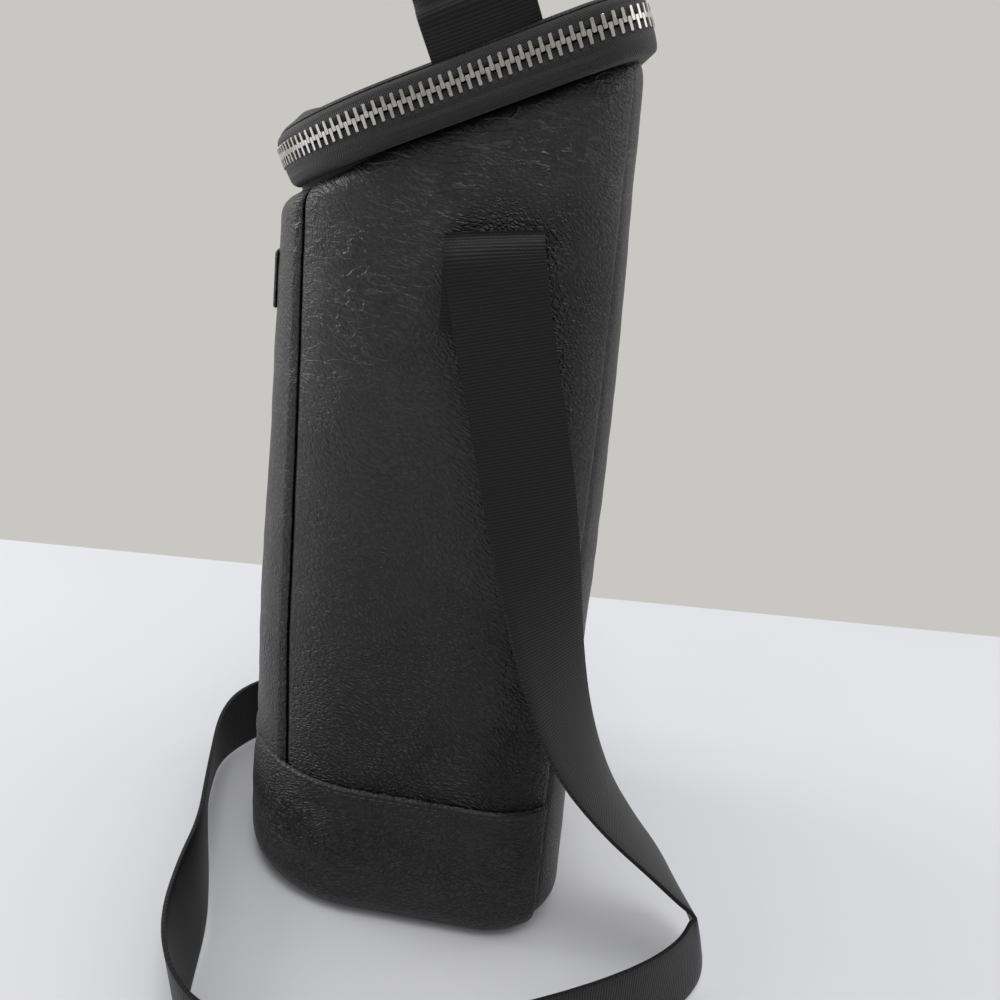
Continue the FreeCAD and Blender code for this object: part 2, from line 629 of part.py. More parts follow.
# Lid: leather over a board, with padding and lining below
LID_ROUND_SHARE = 0.6
LID_LOW = "tape_rise + ply_gap"
LID_HIGH = LID_LOW + " + lid_leather"
LID_ROUND = "lid_leather * %s" % LID_ROUND_SHARE
lid_leather_top = rim_block("lid_leather_top", "lid_edge", LID_LOW, LID_HIGH, LID_ROUND)
crown_sketch = new_sketch(lid_leather_top, "lid_crown_outline", level=LID_HIGH)
draw_outline(crown_sketch, RIM.inset("lid_edge + lid_crown_inset"))
pad(lid_leather_top, crown_sketch, "lid_crown", TaperAngle="-lid_crown_slope")
node(lid_leather_top, "lid_panel")
BOARD_TOP = "tape_rise - tape - ply_gap"
node(rim_block("lid_stiffener", "tape + leather + ply_gap * 2", BOARD_TOP + " - lid_board", BOARD_TOP),
     "lid_board")
LID_PAD_TOP = BOARD_TOP + " - lid_board - ply_gap"
node(rim_block("lid_foam", "lid_pad_inset", LID_PAD_TOP + " - lid_pad", LID_PAD_TOP), "lid_padding")
LID_LINING_TOP = LID_PAD_TOP + " - lid_pad - ply_gap"
node(rim_block("lid_cloth", "lid_pad_inset", LID_LINING_TOP + " - lid_lining", LID_LINING_TOP), "lid_lining")

# Grab handle: a webbing arch across the lid
handle = new_body("handle_arch", slanted=True)
handle_sketch = new_sketch(handle, "handle_outline", "XZ_Plane")
HANDLE_LOW = LID_HIGH + " + handle_lift"


def draw_arch(sketch):
    """An arch of one thickness: two legs, two round bends and a flat top."""
    half = size("handle_span") / 2
    low = size(HANDLE_LOW)
    top = low + size("handle_rise")
    ply = size("webbing_ply")
    bend = size("handle_bend")
    up = V(0, 0, 1)
    quarter = math.pi / 2
    runs = []
    geometry = []
    for shrink in (0, ply):
        side, crown, radius = half - shrink, top - shrink, bend - shrink
        shoulder = crown - radius
        flat = side - radius
        run = [V(side, low, 0), V(side, shoulder, 0), V(flat, crown, 0),
               V(-flat, crown, 0), V(-side, shoulder, 0), V(-side, low, 0)]
        geometry += [Part.LineSegment(run[0], run[1]),
                     Part.ArcOfCircle(Part.Circle(V(flat, shoulder, 0), up, radius), 0, quarter),
                     Part.LineSegment(run[2], run[3]),
                     Part.ArcOfCircle(Part.Circle(V(-flat, shoulder, 0), up, radius), quarter, 2 * quarter),
                     Part.LineSegment(run[4], run[5])]
        runs.append(run)
    geometry += [Part.LineSegment(runs[0][0], runs[1][0]), Part.LineSegment(runs[1][5], runs[0][5])]
    sketch.addGeometry(geometry, False)
    for base in (0, 5):
        for joint in ((0, 2, 1, 1), (1, 2, 2, 1), (2, 2, 3, 1), (3, 2, 4, 1)):
            sketch.addConstraint(Sketcher.Constraint("Tangent", base + joint[0], joint[1],
                                                     base + joint[2], joint[3]))
        sketch.addConstraint(Sketcher.Constraint("Vertical", base))
        sketch.addConstraint(Sketcher.Constraint("Horizontal", base + 2))
        sketch.addConstraint(Sketcher.Constraint("Vertical", base + 4))
    for joint in ((10, 1, 0, 1), (10, 2, 5, 1), (11, 1, 9, 2), (11, 2, 4, 2)):
        sketch.addConstraint(Sketcher.Constraint("Coincident", *joint))
    for line in (10, 11):
        sketch.addConstraint(Sketcher.Constraint("Horizontal", line))
    sketch.addConstraint(Sketcher.Constraint("Symmetric", 0, 1, 4, 2, -2))
    measures = (("Radius", (1,), "handle_bend"), ("Radius", (3,), "handle_bend"),
                ("Radius", (6,), "handle_bend - webbing_ply"), ("Radius", (8,), "handle_bend - webbing_ply"),
                ("DistanceX", (4, 2, 0, 1), "handle_span"), ("DistanceX", (10, 2, 10, 1), "webbing_ply"),
                ("DistanceX", (11, 2, 11, 1), "webbing_ply"), ("DistanceY", (-1, 1, 0, 1), HANDLE_LOW),
                ("DistanceY", (0, 1, 2, 1), "handle_rise"), ("DistanceY", (5, 1, 7, 1),
                                                             "handle_rise - webbing_ply"))
    for kind, places, expression in measures:
        index = sketch.addConstraint(Sketcher.Constraint(kind, *places, size(expression)))
        sketch.setExpression("Constraints[%d]" % index, cell(expression))


draw_arch(handle_sketch)
bind(handle_sketch, AttachmentOffset__Base__z="-handle_place")
pad(handle, handle_sketch, "webbing", Midplane=True)
node(handle, "handle_strap")


# Sewn ends of the shoulder strap: a leg on the side panel and a fold over its top
def primitive(kind, name, place, turn=0, **measures):
    """A Part primitive, laid along Y when it is turned, at a place given by three expressions."""
    feature = doc.addObject(kind, name)
    feature.Placement = FreeCAD.Placement(V(), FreeCAD.Rotation(V(1, 0, 0), turn))
    bind(feature, **measures)
    bind(feature, **{"Placement__Base__" + axis: part for axis, part in zip("xyz", place)})
    return feature


def side_seat(side):
    """Placement on a side panel at the strap's anchor: X outward, Z up the leaning wall."""
    corner, _, angle = TUB.points()
    normal = V(math.cos(angle), math.sin(angle), 0)
    lean = math.tan(math.radians(size("taper")))
    reach = normal.dot(corner) + size("corner_radius") - size(SKIN) - size("anchor_top") * lean
    out = (reach - normal.y * size("anchor_place")) / normal.x
    turn = angle if side > 0 else math.pi - angle
    upright = FreeCAD.Rotation(V(0, 0, 1), math.degrees(turn))
    tilt = FreeCAD.Rotation(V(0, 1, 0), -size("taper"))
    clear = V(math.cos(turn), math.sin(turn), 0) * size("ply_gap")
    roll = FreeCAD.Rotation(V(1, 0, 0), side * size("anchor_tilt"))
    return FreeCAD.Placement(V(side * out, size("anchor_place"), size("anchor_top")) + clear,
                             upright.multiply(tilt).multiply(roll))


FOLD_RADIUS = "fold_gap / 2 + webbing_ply"
LYING = 90
HALF_TURN = 180


def strap_end(name, side):
    leg = primitive("Part::Box", name + "_leg", ("0", "-webbing / 2", "-anchor_height"),
                    Length="webbing_ply", Width="webbing", Height="anchor_height - (%s)" % FOLD_RADIUS)
    lip = primitive("Part::Box", name + "_lip",
                    ("webbing_ply + fold_gap", "-webbing / 2", "-(%s) - fold_lip" % FOLD_RADIUS),
                    Length="webbing_ply", Width="webbing", Height="fold_lip")
    middle = (FOLD_RADIUS, "webbing / 2", "-(%s)" % FOLD_RADIUS)
    roll = primitive("Part::Cylinder", name + "_roll", middle, LYING, Radius=FOLD_RADIUS, Height="webbing")
    roll.Angle = HALF_TURN
    bore = primitive("Part::Cylinder", name + "_bore", middle, LYING, Radius="fold_gap / 2", Height="webbing")
    hook = doc.addObject("Part::MultiFuse", name + "_hook")
    hook.Shapes = [leg, lip, cut(name + "_fold", roll, bore)]
    hook.Placement = side_seat(side)
    return node(hook, name)


strap_end("strap_end_right", 1)
strap_end("strap_end_left", -1)


# Bare plate on the front
plate_core = tub_core("plate_core", SKIN + " - ply_gap", "0")
plate_face = tub_core("plate_face", SKIN + " - ply_gap - plate_thickness", "0")
plate_field = box_block("plate_field",
                        ("-plate_width / 2", "-(%s)" % DEEP, "plate_middle - plate_height / 2"),
                        ("plate_width / 2", "0", "plate_middle + plate_height / 2"))
node(common("plate_cut", cut("plate_ply", plate_face, plate_core), plate_field), "front_plate")

# Shoulder strap: free webbing from one sewn end round the front of the bag to the other.
# Each row is a point of the middle line and the way the outer face looks there.
STRAP_ROUTE = [
    ((63.5, 26.5, 238.0), (1.0, 0.0, 0.0)), ((67.0, 35.0, 206.0), (1.0, 0.1, 0.0)),
    ((70.5, 43.5, 171.0), (0.9, 0.4, 0.1)), ((74.0, 52.0, 135.0), (0.7, 0.7, 0.2)),
    ((75.5, 62.0, 104.0), (0.5, 0.8, 0.3)), ((72.0, 78.0, 77.0), (0.2, 0.8, 0.6)),
    ((66.0, 95.0, 55.0), (0.0, 0.7, 0.7)), ((63.5, 108.0, 40.0), (-0.1, 0.7, 0.7)),
    ((66.0, 117.5, 28.5), (-0.3, 0.8, 0.6)), ((75.0, 122.5, 21.0), (-0.1, 0.9, 0.3)),
    ((86.0, 116.0, 17.5), (0.5, 0.9, 0.1)), ((96.0, 106.0, 17.0), (0.7, 0.7, 0.0)),
    ((107.0, 92.0, 17.0), (0.8, 0.5, 0.0)), ((119.0, 71.0, 17.0), (0.9, 0.4, 0.0)),
    ((132.0, 42.0, 17.0), (0.9, 0.3, 0.0)), ((142.0, 10.0, 17.0), (1.0, 0.2, 0.0)),
    ((147.0, -24.0, 17.0), (1.0, 0.0, 0.0)), ((141.0, -50.0, 17.0), (0.8, -0.5, 0.0)),
    ((124.0, -64.5, 17.0), (0.4, -0.9, -0.1)), ((100.0, -71.0, 16.5), (0.2, -0.9, -0.3)),
    ((74.0, -74.0, 17.0), (0.1, -0.9, -0.3)), ((48.0, -77.5, 17.0), (0.2, -1.0, -0.1)),
    ((21.0, -84.5, 17.0), (0.2, -1.0, 0.0)), ((0.0, -90.0, 17.0), (0.2, -1.0, 0.1)),
    ((-22.0, -94.0, 17.0), (0.1, -1.0, 0.1)), ((-38.0, -95.0, 17.0), (-0.1, -1.0, 0.1)),
    ((-54.0, -91.0, 17.0), (-0.3, -0.9, 0.0)), ((-69.0, -81.0, 17.0), (-0.6, -0.8, 0.0)),
    ((-80.0, -64.0, 17.0), (-0.9, -0.4, 0.1)), ((-85.0, -44.0, 17.0), (-0.8, -0.1, 0.6)),
    ((-86.0, -26.0, 26.0), (-0.4, -0.4, 0.8)), ((-85.0, -12.0, 48.0), (-0.3, -0.8, 0.4)),
    ((-84.0, -3.0, 80.0), (-0.5, -0.8, 0.2)), ((-82.0, 4.0, 115.0), (-0.7, -0.7, 0.1)),
    ((-78.0, 8.5, 153.0), (-0.9, -0.4, 0.0)), ((-72.0, 13.0, 194.0), (-1.0, -0.1, 0.0)),
    ((-66.5, 16.0, 232.0), (-1.0, 0.0, 0.0)),
]
ARC_SHARE = 0.45
ARC_STEPS = 3
HALF_SHARE = 0.5


def strap_root(side):
    """Middle of the end of a sewn fold, the way down out of it and the way it faces."""
    seat = side_seat(side)
    lip = V(size("webbing_ply / 2 + fold_gap + webbing_ply"), 0, -size(FOLD_RADIUS) - size("fold_lip"))
    return seat.multVec(lip), seat.Rotation.multVec(V(0, 0, -1)), seat.Rotation.multVec(V(1, 0, 0))


def strap_sections():
    """Rectangles across the strap: at its ends and along the tangent arc at each turn of the route."""
    first, way_down, first_face = strap_root(1)
    last, other_way_down, last_face = strap_root(-1)
    points = [first] + [V(*point) for point, _ in STRAP_ROUTE] + [last]
    faces = [first_face] + [V(*face) for _, face in STRAP_ROUTE] + [last_face]
    middles = [(first, way_down, first_face)]
    length = 0.0
    radii = []
    for place in range(1, len(points) - 1):
        before = points[place] - points[place - 1]
        after = points[place + 1] - points[place]
        shorter = min(before.Length, after.Length)
        turn = before.getAngle(after)
        radius = ARC_SHARE * shorter / math.tan(turn / 2)
        radii.append(radius)
        reach = ARC_SHARE * shorter
        way_in = V(before).normalize()
        across = (V(after).normalize() - way_in * math.cos(turn)).normalize()
        start = points[place] - way_in * reach
        for step in range(ARC_STEPS):
            angle = turn * step / (ARC_STEPS - 1)
            point = start + way_in * (radius * math.sin(angle)) + across * (radius * (1 - math.cos(angle)))
            heading = way_in * math.cos(angle) + across * math.sin(angle)
            lean = step / (ARC_STEPS - 1) - HALF_SHARE
            beside = faces[place + 1] if lean > 0 else faces[place - 1]
            middles.append((point, heading, faces[place] * (1 - abs(lean)) + beside * abs(lean)))
    middles.append((last, other_way_down * -1, last_face))
    for one, two in zip(middles, middles[1:]):
        length += (two[0] - one[0]).Length
    print("strap radii", [round(radius) for radius in radii], "length", round(length))
    print("strap from", first, "to", last)
    wide = size("webbing") / 2
    thick = size("webbing_ply") / 2
    wires = []
    for point, heading, face in middles:
        out = (face - heading * face.dot(heading)).normalize()
        across = out.cross(heading)
        ring = [point + across * a * wide + out * b * thick
                for a, b in ((1, 1), (-1, 1), (-1, -1), (1, -1), (1, 1))]
        wires.append(Part.makePolygon(ring))
    return wires, length


def strip_through(wires):
    """One solid of ruled faces from each rectangle to the next, closed at both ends."""
    faces = [Part.Face(wires[0]), Part.Face(wires[-1])]
    for one, two in zip(wires, wires[1:]):
        faces += [Part.makeRuledSurface(here, there) for here, there in zip(one.Edges, two.Edges)]
    shell = Part.makeShell(faces)
    shell.sewShape()
    return Part.makeSolid(shell)


strap_wires, strap_length = strap_sections()
strap_solid = strip_through(strap_wires)
strap_volume = size("webbing") * size("webbing_ply") * strap_length
print("strap volume over section times length", round(strap_solid.Volume / strap_volume, 3))
feature_of("shoulder_strap", strap_solid)

doc.recompute()

faults = [item.Label for item in doc.Objects if "Invalid" in item.State or "Error" in item.State]
for feature in nodes:
    shape = feature.Shape
    if shape.isNull() or not shape.isValid() or not shape.Solids:
        faults.append(feature.Label)
if faults:
    raise SystemExit("not sound: " + ", ".join(faults))

fold_place = SLANTED.multVec(V(0, size(RIM.back), 0))
slide_way = slider_seat.Rotation.multVec(V(-1, 0, 0))
pin_place = slider_seat.multVec(V(0, eye_middle, 0))
print("lid folds about X at", fold_place)
print("slider runs along", slide_way, "from", slider_seat.Base)
print("puller pin at", pin_place)

os.makedirs("parts", exist_ok=True)
for feature in nodes:
    feature.Shape.exportStep(os.path.join("parts", feature.Label + ".step"))
    box = feature.Shape.BoundBox
    print("%-18s solids %3d  x %.1f..%.1f  y %.1f..%.1f  z %.1f..%.1f" % (
        feature.Label, len(feature.Shape.Solids), box.XMin, box.XMax, box.YMin, box.YMax,
        box.ZMin, box.ZMax))
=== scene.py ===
import bpy
import math
from mathutils import Matrix, Vector, noise


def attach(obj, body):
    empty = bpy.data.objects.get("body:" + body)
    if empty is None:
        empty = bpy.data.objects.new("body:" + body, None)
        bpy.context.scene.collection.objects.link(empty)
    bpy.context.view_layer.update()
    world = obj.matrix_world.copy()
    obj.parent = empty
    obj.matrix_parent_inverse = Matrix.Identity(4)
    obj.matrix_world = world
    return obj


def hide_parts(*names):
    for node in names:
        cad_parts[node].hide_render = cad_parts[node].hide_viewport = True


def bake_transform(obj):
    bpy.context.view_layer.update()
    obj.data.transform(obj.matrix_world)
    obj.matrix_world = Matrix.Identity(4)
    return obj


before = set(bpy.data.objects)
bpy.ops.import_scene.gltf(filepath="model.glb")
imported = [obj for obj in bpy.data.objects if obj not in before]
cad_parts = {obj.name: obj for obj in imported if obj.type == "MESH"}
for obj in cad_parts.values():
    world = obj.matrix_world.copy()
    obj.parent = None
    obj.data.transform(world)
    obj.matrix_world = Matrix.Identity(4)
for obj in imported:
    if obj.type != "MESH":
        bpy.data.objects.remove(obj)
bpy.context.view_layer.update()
MM = 0.001

# ---------------------------------------------------------------- camera
# Fitted to the photograph's outline
EYE = Vector((387.06, 28.28, 292.90)) * MM
YAW, PITCH, ROLL = math.radians(0.184), math.radians(18.358), math.radians(5.671)
LENS = 35.85

ahead = Vector((-math.cos(YAW) * math.cos(PITCH), math.sin(YAW) * math.cos(PITCH), -math.sin(PITCH)))
level = Vector((math.sin(YAW), math.cos(YAW), 0))
above = level.cross(ahead)
sideways = level * math.cos(ROLL) + above * math.sin(ROLL)
upward = above * math.cos(ROLL) - level * math.sin(ROLL)
bpy.ops.object.camera_add(location=EYE)
camera = bpy.context.object
camera.rotation_euler = Matrix((sideways, upward, -ahead)).transposed().to_euler()
camera.data.sensor_width = 36
camera.data.lens = LENS
camera.data.clip_start = 0.01
bpy.context.scene.camera = camera


# ---------------------------------------------------------------- bench work
def choose(*pieces):
    bpy.ops.object.select_all(action="DESELECT")
    for piece in pieces:
        piece.select_set(True)
    bpy.context.view_layer.objects.active = pieces[0]


def apply(piece, kind, **settings):
    """Add one modifier and apply it."""
    modifier = piece.modifiers.new(kind, kind)
    for name, value in settings.items():
        setattr(modifier, name, value)
    choose(piece)
    bpy.ops.object.modifier_apply(modifier=modifier.name)


def smooth(share):
    share = min(max(share, 0), 1)
    return share * share * (3 - 2 * share)


def mix(low, high, share):
    return low + (high - low) * share


def cut_sheet(name, columns, rows, place, thickness, offset=-1, edge=0.3, closed=False):
    """A flat cut sheet of small squares, each point moved to where place(across, along) puts it, in mm.

    place gives the point, its spot on the flat cut and how creased the sheet is there.
    """
    bpy.ops.object.select_all(action="DESELECT")
    bpy.ops.mesh.primitive_grid_add(x_subdivisions=columns, y_subdivisions=rows, size=1)
    piece = bpy.context.object
    piece.name = piece.data.name = name
    mesh = piece.data
    creased = mesh.attributes.new("crease", "FLOAT", "POINT")
    flat = []
    for vertex in mesh.vertices:
        point, spot, crease = place(vertex.co.x + 0.5, vertex.co.y + 0.5)
        vertex.co = point * MM
        flat.append((spot[0] * MM, spot[1] * MM))
        creased.data[vertex.index].value = crease
    for loop in mesh.loops:
        mesh.uv_layers.active.data[loop.index].uv = flat[loop.vertex_index]
    if closed:
        bpy.ops.object.mode_set(mode="EDIT")
        bpy.ops.mesh.select_all(action="SELECT")
        bpy.ops.mesh.remove_doubles(threshold=0.01 * MM)
        bpy.ops.object.mode_set(mode="OBJECT")
    if thickness:
        apply(piece, "SOLIDIFY", thickness=thickness * MM, offset=offset, use_even_offset=True)
    if edge:
        apply(piece, "BEVEL", width=edge * MM, segments=2, limit_method="ANGLE",
              angle_limit=math.radians(50))
    choose(piece)
    bpy.ops.object.shade_smooth_by_angle(angle=math.radians(45))
    return piece


def dress(piece, body, slot, material, *nodes):
    """Hang a finished piece on its body, give it its finish and let it stand for CAD nodes."""
    piece.data.materials.clear()
    piece.data.materials.append(material)
    if body:
        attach(piece, body)
    if nodes:
        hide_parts(*nodes)
    return piece


# ---------------------------------------------------------------- the bag's forms, in mm
class Outline:
    """A D seen from above: flat back, round back corners, straight sides and a round nose."""

    def __init__(self, half_width, back, front, corner, nose):
        self.corner, self.nose = corner, nose
        self.corner_at = Vector((half_width - corner, back - corner, 0))
        self.nose_at = Vector((0, nose - front, 0))
        gap = self.corner_at - self.nose_at
        self.side = math.atan2(gap.y, gap.x) - math.acos((nose - corner) / gap.length)
        self.normal = Vector((math.cos(self.side), math.sin(self.side), 0))
        self.flat = half_width - corner
        self.bend = corner * (math.pi / 2 - self.side)
        self.run = (gap + self.normal * (corner - nose)).length
        self.half = self.flat + self.bend + self.run + nose * (math.pi / 2 + self.side)

    def at(self, along):
        """Point and outward normal at a length from the middle of the back, going round by the right."""
        along = along % (2 * self.half)
        if along > self.half:
            point, normal = self.at(2 * self.half - along)
            return Vector((-point.x, point.y, 0)), Vector((-normal.x, normal.y, 0))
        if along < self.flat:
            return self.corner_at + Vector((along - self.flat, self.corner, 0)), Vector((0, 1, 0))
        along -= self.flat
        if along < self.bend:
            angle = math.pi / 2 - along / self.corner
            normal = Vector((math.cos(angle), math.sin(angle), 0))
            return self.corner_at + normal * self.corner, normal
        along -= self.bend
        if along < self.run:
            forward = Vector((self.normal.y, -self.normal.x, 0))
            return self.corner_at + self.normal * self.corner + forward * along, self.normal.copy()
        angle = self.side - (along - self.run) / self.nose
        normal = Vector((math.cos(angle), math.sin(angle), 0))
        return self.nose_at + normal * self.nose, normal


# The wall's outline at the table, and how far the wall leans in
TUB = Outline(half_width=65.5, back=71.9, front=68, corner=34, nose=60)
LEAN = math.radians(1.2)
TAPER = math.tan(LEAN)
# The zip's outline in its slanted plane, the plane's slope and its height over the origin
RIM = Outline(half_width=62.10, back=66.72, front=67.03, corner=20, nose=58)
RIM_ANGLE = math.radians(23.8)
CHAIN = 315
# The wall's top edge over the origin, and its rise towards the back
SEAT_LOW, SEAT_RISE = 303.1, math.tan(RIM_ANGLE)
# Where the front and back seams run, as a distance from the middle at the table and at SEAM_TOP
SEAM_TOP = 380
FRONT_SEAM, BACK_SEAM = (46, 31), (57.5, 45.5)


def wall(along, height, out):
    """A point of the leaning wall: a length round it, a height and how far it stands proud."""
    point, normal = TUB.at(along)
    spot = point + normal * (out - height * TAPER)
    return Vector((spot.x, spot.y, height))


def slanted(across, slope, lift):
    """A point of the slanted lid's own frame: across, up the slope and square to the zip's plane."""
    return Vector((across, slope * math.cos(RIM_ANGLE) - lift * math.sin(RIM_ANGLE),
                   CHAIN + slope * math.sin(RIM_ANGLE) + lift * math.cos(RIM_ANGLE)))


def rim(along, out, lift):
    point, normal = RIM.at(along)
    spot = point + normal * out
    return slanted(spot.x, spot.y, lift)


def seat(along, out):
    """Height of the wall's top under the zip tape."""
    height = SEAT_LOW
    for _ in range(4):
        height = SEAT_LOW + SEAT_RISE * wall(along, height, out).y
    return height


def seam(height, across, front):
    """Length round the wall at which the right half crosses a distance from the middle."""
    low, high = (TUB.flat + TUB.bend + TUB.run, TUB.half) if front else (0, TUB.flat + TUB.bend)
    for _ in range(24):
        middle = (low + high) / 2
        if (wall(middle, height, 0).x > across) == front:
            low = middle
        else:
            high = middle
    return low


def front_seam(height):
    return seam(height, mix(*FRONT_SEAM, height / SEAM_TOP), True)


def back_seam(height):
    return seam(height, mix(*BACK_SEAM, height / SEAM_TOP), False)


def wave(x, y, seed):
    return noise.noise(Vector((x, y, seed)))


# ---------------------------------------------------------------- finishes
def linear(code):
    """Linear colour of an sRGB hex code."""
    parts = [int(code[k:k + 2], 16) / 255 for k in (1, 3, 5)]
    return tuple(p / 12.92 if p <= 0.04045 else ((p + 0.055) / 1.055) ** 2.4 for p in parts) + (1,)


def add(tree, kind, sockets=None, **settings):
    """One node with its settings, and its sockets set or linked."""
    node = tree.nodes.new("ShaderNode" + kind)
    for name, value in settings.items():
        setattr(node, name, value)
    for name, value in (sockets or {}).items():
        if isinstance(value, bpy.types.NodeSocket):
            tree.links.new(value, node.inputs[name])
        else:
            node.inputs[name].default_value = value
    return node


def material(name):
    made = bpy.data.materials.new(name)
    made.use_nodes = True
    made.node_tree.nodes.clear()
    return made, made.node_tree


def surface(tree, **sockets):
    """The shader that ends a finish: its sockets by their own names, with _ for a space."""
    named = {name.replace("_", " "): value for name, value in sockets.items()}
    shader = add(tree, "BsdfPrincipled", named)
    add(tree, "OutputMaterial", {"Surface": shader.outputs[0]})


def stretched(tree, spot, across, along):
    """Flat coordinates in which one unit is a length across and a length along, in mm."""
    scale = (1 / (across * MM), 1 / (along * MM), 1)
    return add(tree, "Mapping", {"Vector": spot, "Scale": scale}).outputs[0]


def cowhide(name, dark, light, cell, depth, sheen):
    """Chrome-tanned cowhide, milled to a flowing grain and finished satin black.

    Fine slanted wrinkles cover it. Where it is pebbled, plump cells are parted by valleys painted dark
    as painted shade. Where it is bent, long creases run across and their upper lips catch the light as
    thin bright lines, from the bump and from a painted highlight in the colour.
    """
    made, tree = material(name)
    flat = add(tree, "UVMap").outputs[0]
    lie = add(tree, "Attribute", attribute_name="crease").outputs["Fac"]
    # The grain drifts by some 5 mm over every 40 mm, and wobbles by a quarter of a cell
    drift = add(tree, "TexNoise", {"Vector": flat, "Scale": 1 / (40 * MM), "Detail": 1})
    pull = add(tree, "VectorMath", {0: drift.outputs["Color"], "Scale": 20 * MM}, operation="SCALE")
    spot = add(tree, "VectorMath", {0: flat, 1: pull.outputs[0]}, operation="ADD").outputs[0]
    shake = add(tree, "TexNoise", {"Vector": flat, "Scale": 1 / (2.6 * cell * MM), "Detail": 2})
    small = add(tree, "VectorMath", {0: shake.outputs["Color"], "Scale": 0.8 * cell * MM},
                operation="SCALE")
    loose = add(tree, "VectorMath", {0: spot, 1: small.outputs[0]}, operation="ADD").outputs[0]
    turned = add(tree, "Mapping", {"Vector": loose, "Rotation": (0, 0, math.radians(-24))}).outputs[0]
    wrinkles = stretched(tree, turned, 1.7 * cell, 0.9 * cell)
    fine = add(tree, "TexNoise", {"Vector": wrinkles, "Scale": 1.0, "Detail": 3}).outputs[0]
    pebbles = stretched(tree, turned, 2.3 * cell, 1.2 * cell)
    cells = add(tree, "TexVoronoi", {"Vector": pebbles, "Scale": 1.0, "Randomness": 0.95},
                feature="DISTANCE_TO_EDGE").outputs[0]
    valley = add(tree, "MapRange", {"Value": cells, "From Max": 0.3, "To Min": 1.0, "To Max": 0.0},
                 interpolation_type="SMOOTHSTEP").outputs[0]
    # Creases some 13 mm long and 3 mm apart: the level lines of a stretched cloud
    cloud = stretched(tree, loose, 13, 3)
    long = add(tree, "TexNoise", {"Vector": cloud, "Scale": 1.0, "Detail": 1}).outputs[0]
    level = add(tree, "Math", {0: long, 1: 0.5}, operation="SUBTRACT").outputs[0]
    away = add(tree, "Math", {0: level}, operation="ABSOLUTE").outputs[0]
    lip = add(tree, "MapRange", {"Value": away, "From Max": 0.04, "To Min": 1.0, "To Max": 0.0},
              interpolation_type="SMOOTHSTEP").outputs[0]
    pebbled = add(tree, "MapRange", {"Value": lie, "From Min": -1.0, "From Max": 0.3,
                                     "To Min": 0.55, "To Max": 0.05}).outputs[0]
    creased = add(tree, "MapRange", {"Value": lie, "To Max": 0.5}).outputs[0]
    cut = add(tree, "Math", {0: valley, 1: pebbled}, operation="MULTIPLY").outputs[0]
    fold = add(tree, "Math", {0: lip, 1: creased}, operation="MULTIPLY").outputs[0]
    relief = add(tree, "Math", {0: fold, 1: cut}, operation="SUBTRACT").outputs[0]
    height = add(tree, "Math", {0: fine, 1: 0.7, 2: relief}, operation="MULTIPLY_ADD").outputs[0]
    bump = add(tree, "Bump", {"Height": height, "Strength": 1.0, "Distance": depth * MM})
    # The colour follows the relief: wrinkle hollows and cell valleys get painted shade, and raised grain
    # and crease lips get a painted highlight
    tone = add(tree, "MapRange", {"Value": height, "From Min": 0.15, "From Max": 0.65}).outputs[0]
    colour = add(tree, "Mix", {"Factor": tone, "A": linear(dark), "B": linear(light)}, data_type="RGBA")
    gloss = add(tree, "MapRange", {"Value": tone, "To Min": sheen + 0.16, "To Max": sheen}).outputs[0]
    surface(tree, Base_Color=colour.outputs["Result"], Roughness=gloss, IOR=1.5,
            Normal=bump.outputs[0])
    return made


def woven(name, dark, light, rib, warp, depth, sheen):
    """Polyester webbing, woven with heavy weft ribs across its width.

    Fine rounded ribs run straight across, each broken into beads by the warp, and the filament
    yarn gives a dull silky light along the ribs, helped by a painted highlight on the crowns.
    """
    made, tree = material(name)
    flat = add(tree, "SeparateXYZ", {0: add(tree, "UVMap").outputs[0]})
    count = add(tree, "Math", {0: flat.outputs[1], 1: rib * MM}, operation="DIVIDE").outputs[0]
    row = add(tree, "Math", {0: count}, operation="FLOOR").outputs[0]
    ridge = add(tree, "Math", {0: count, 1: 0.5}, operation="PINGPONG").outputs[0]
    yarn = add(tree, "Math", {0: flat.outputs[0], 1: warp * MM}, operation="DIVIDE").outputs[0]
    step = add(tree, "Math", {0: row, 1: 0.5, 2: yarn}, operation="MULTIPLY_ADD").outputs[0]
    bead = add(tree, "Math", {0: step, 1: 0.5}, operation="PINGPONG").outputs[0]
    crown = add(tree, "MapRange", {"Value": ridge, "From Max": 0.5},
                interpolation_type="SMOOTHSTEP").outputs[0]
    pearl = add(tree, "MapRange", {"Value": bead, "From Max": 0.4, "To Min": 0.45},
                interpolation_type="SMOOTHSTEP").outputs[0]
    height = add(tree, "Math", {0: crown, 1: pearl}, operation="MULTIPLY").outputs[0]
    bump = add(tree, "Bump", {"Height": height, "Strength": 0.9, "Distance": depth * MM})
    # Colour follows the weave's height, partly the yarn's own tone and partly painted light: painted
    # highlight on rib crowns, painted shade in the gaps
    colour = add(tree, "Mix", {"Factor": height, "A": linear(dark), "B": linear(light)}, data_type="RGBA")
    gloss = add(tree, "MapRange", {"Value": height, "To Min": sheen + 0.2, "To Max": sheen}).outputs[0]
    surface(tree, Base_Color=colour.outputs["Result"], Roughness=gloss, IOR=1.5,
            Specular_IOR_Level=0.28, Normal=bump.outputs[0])
    return made


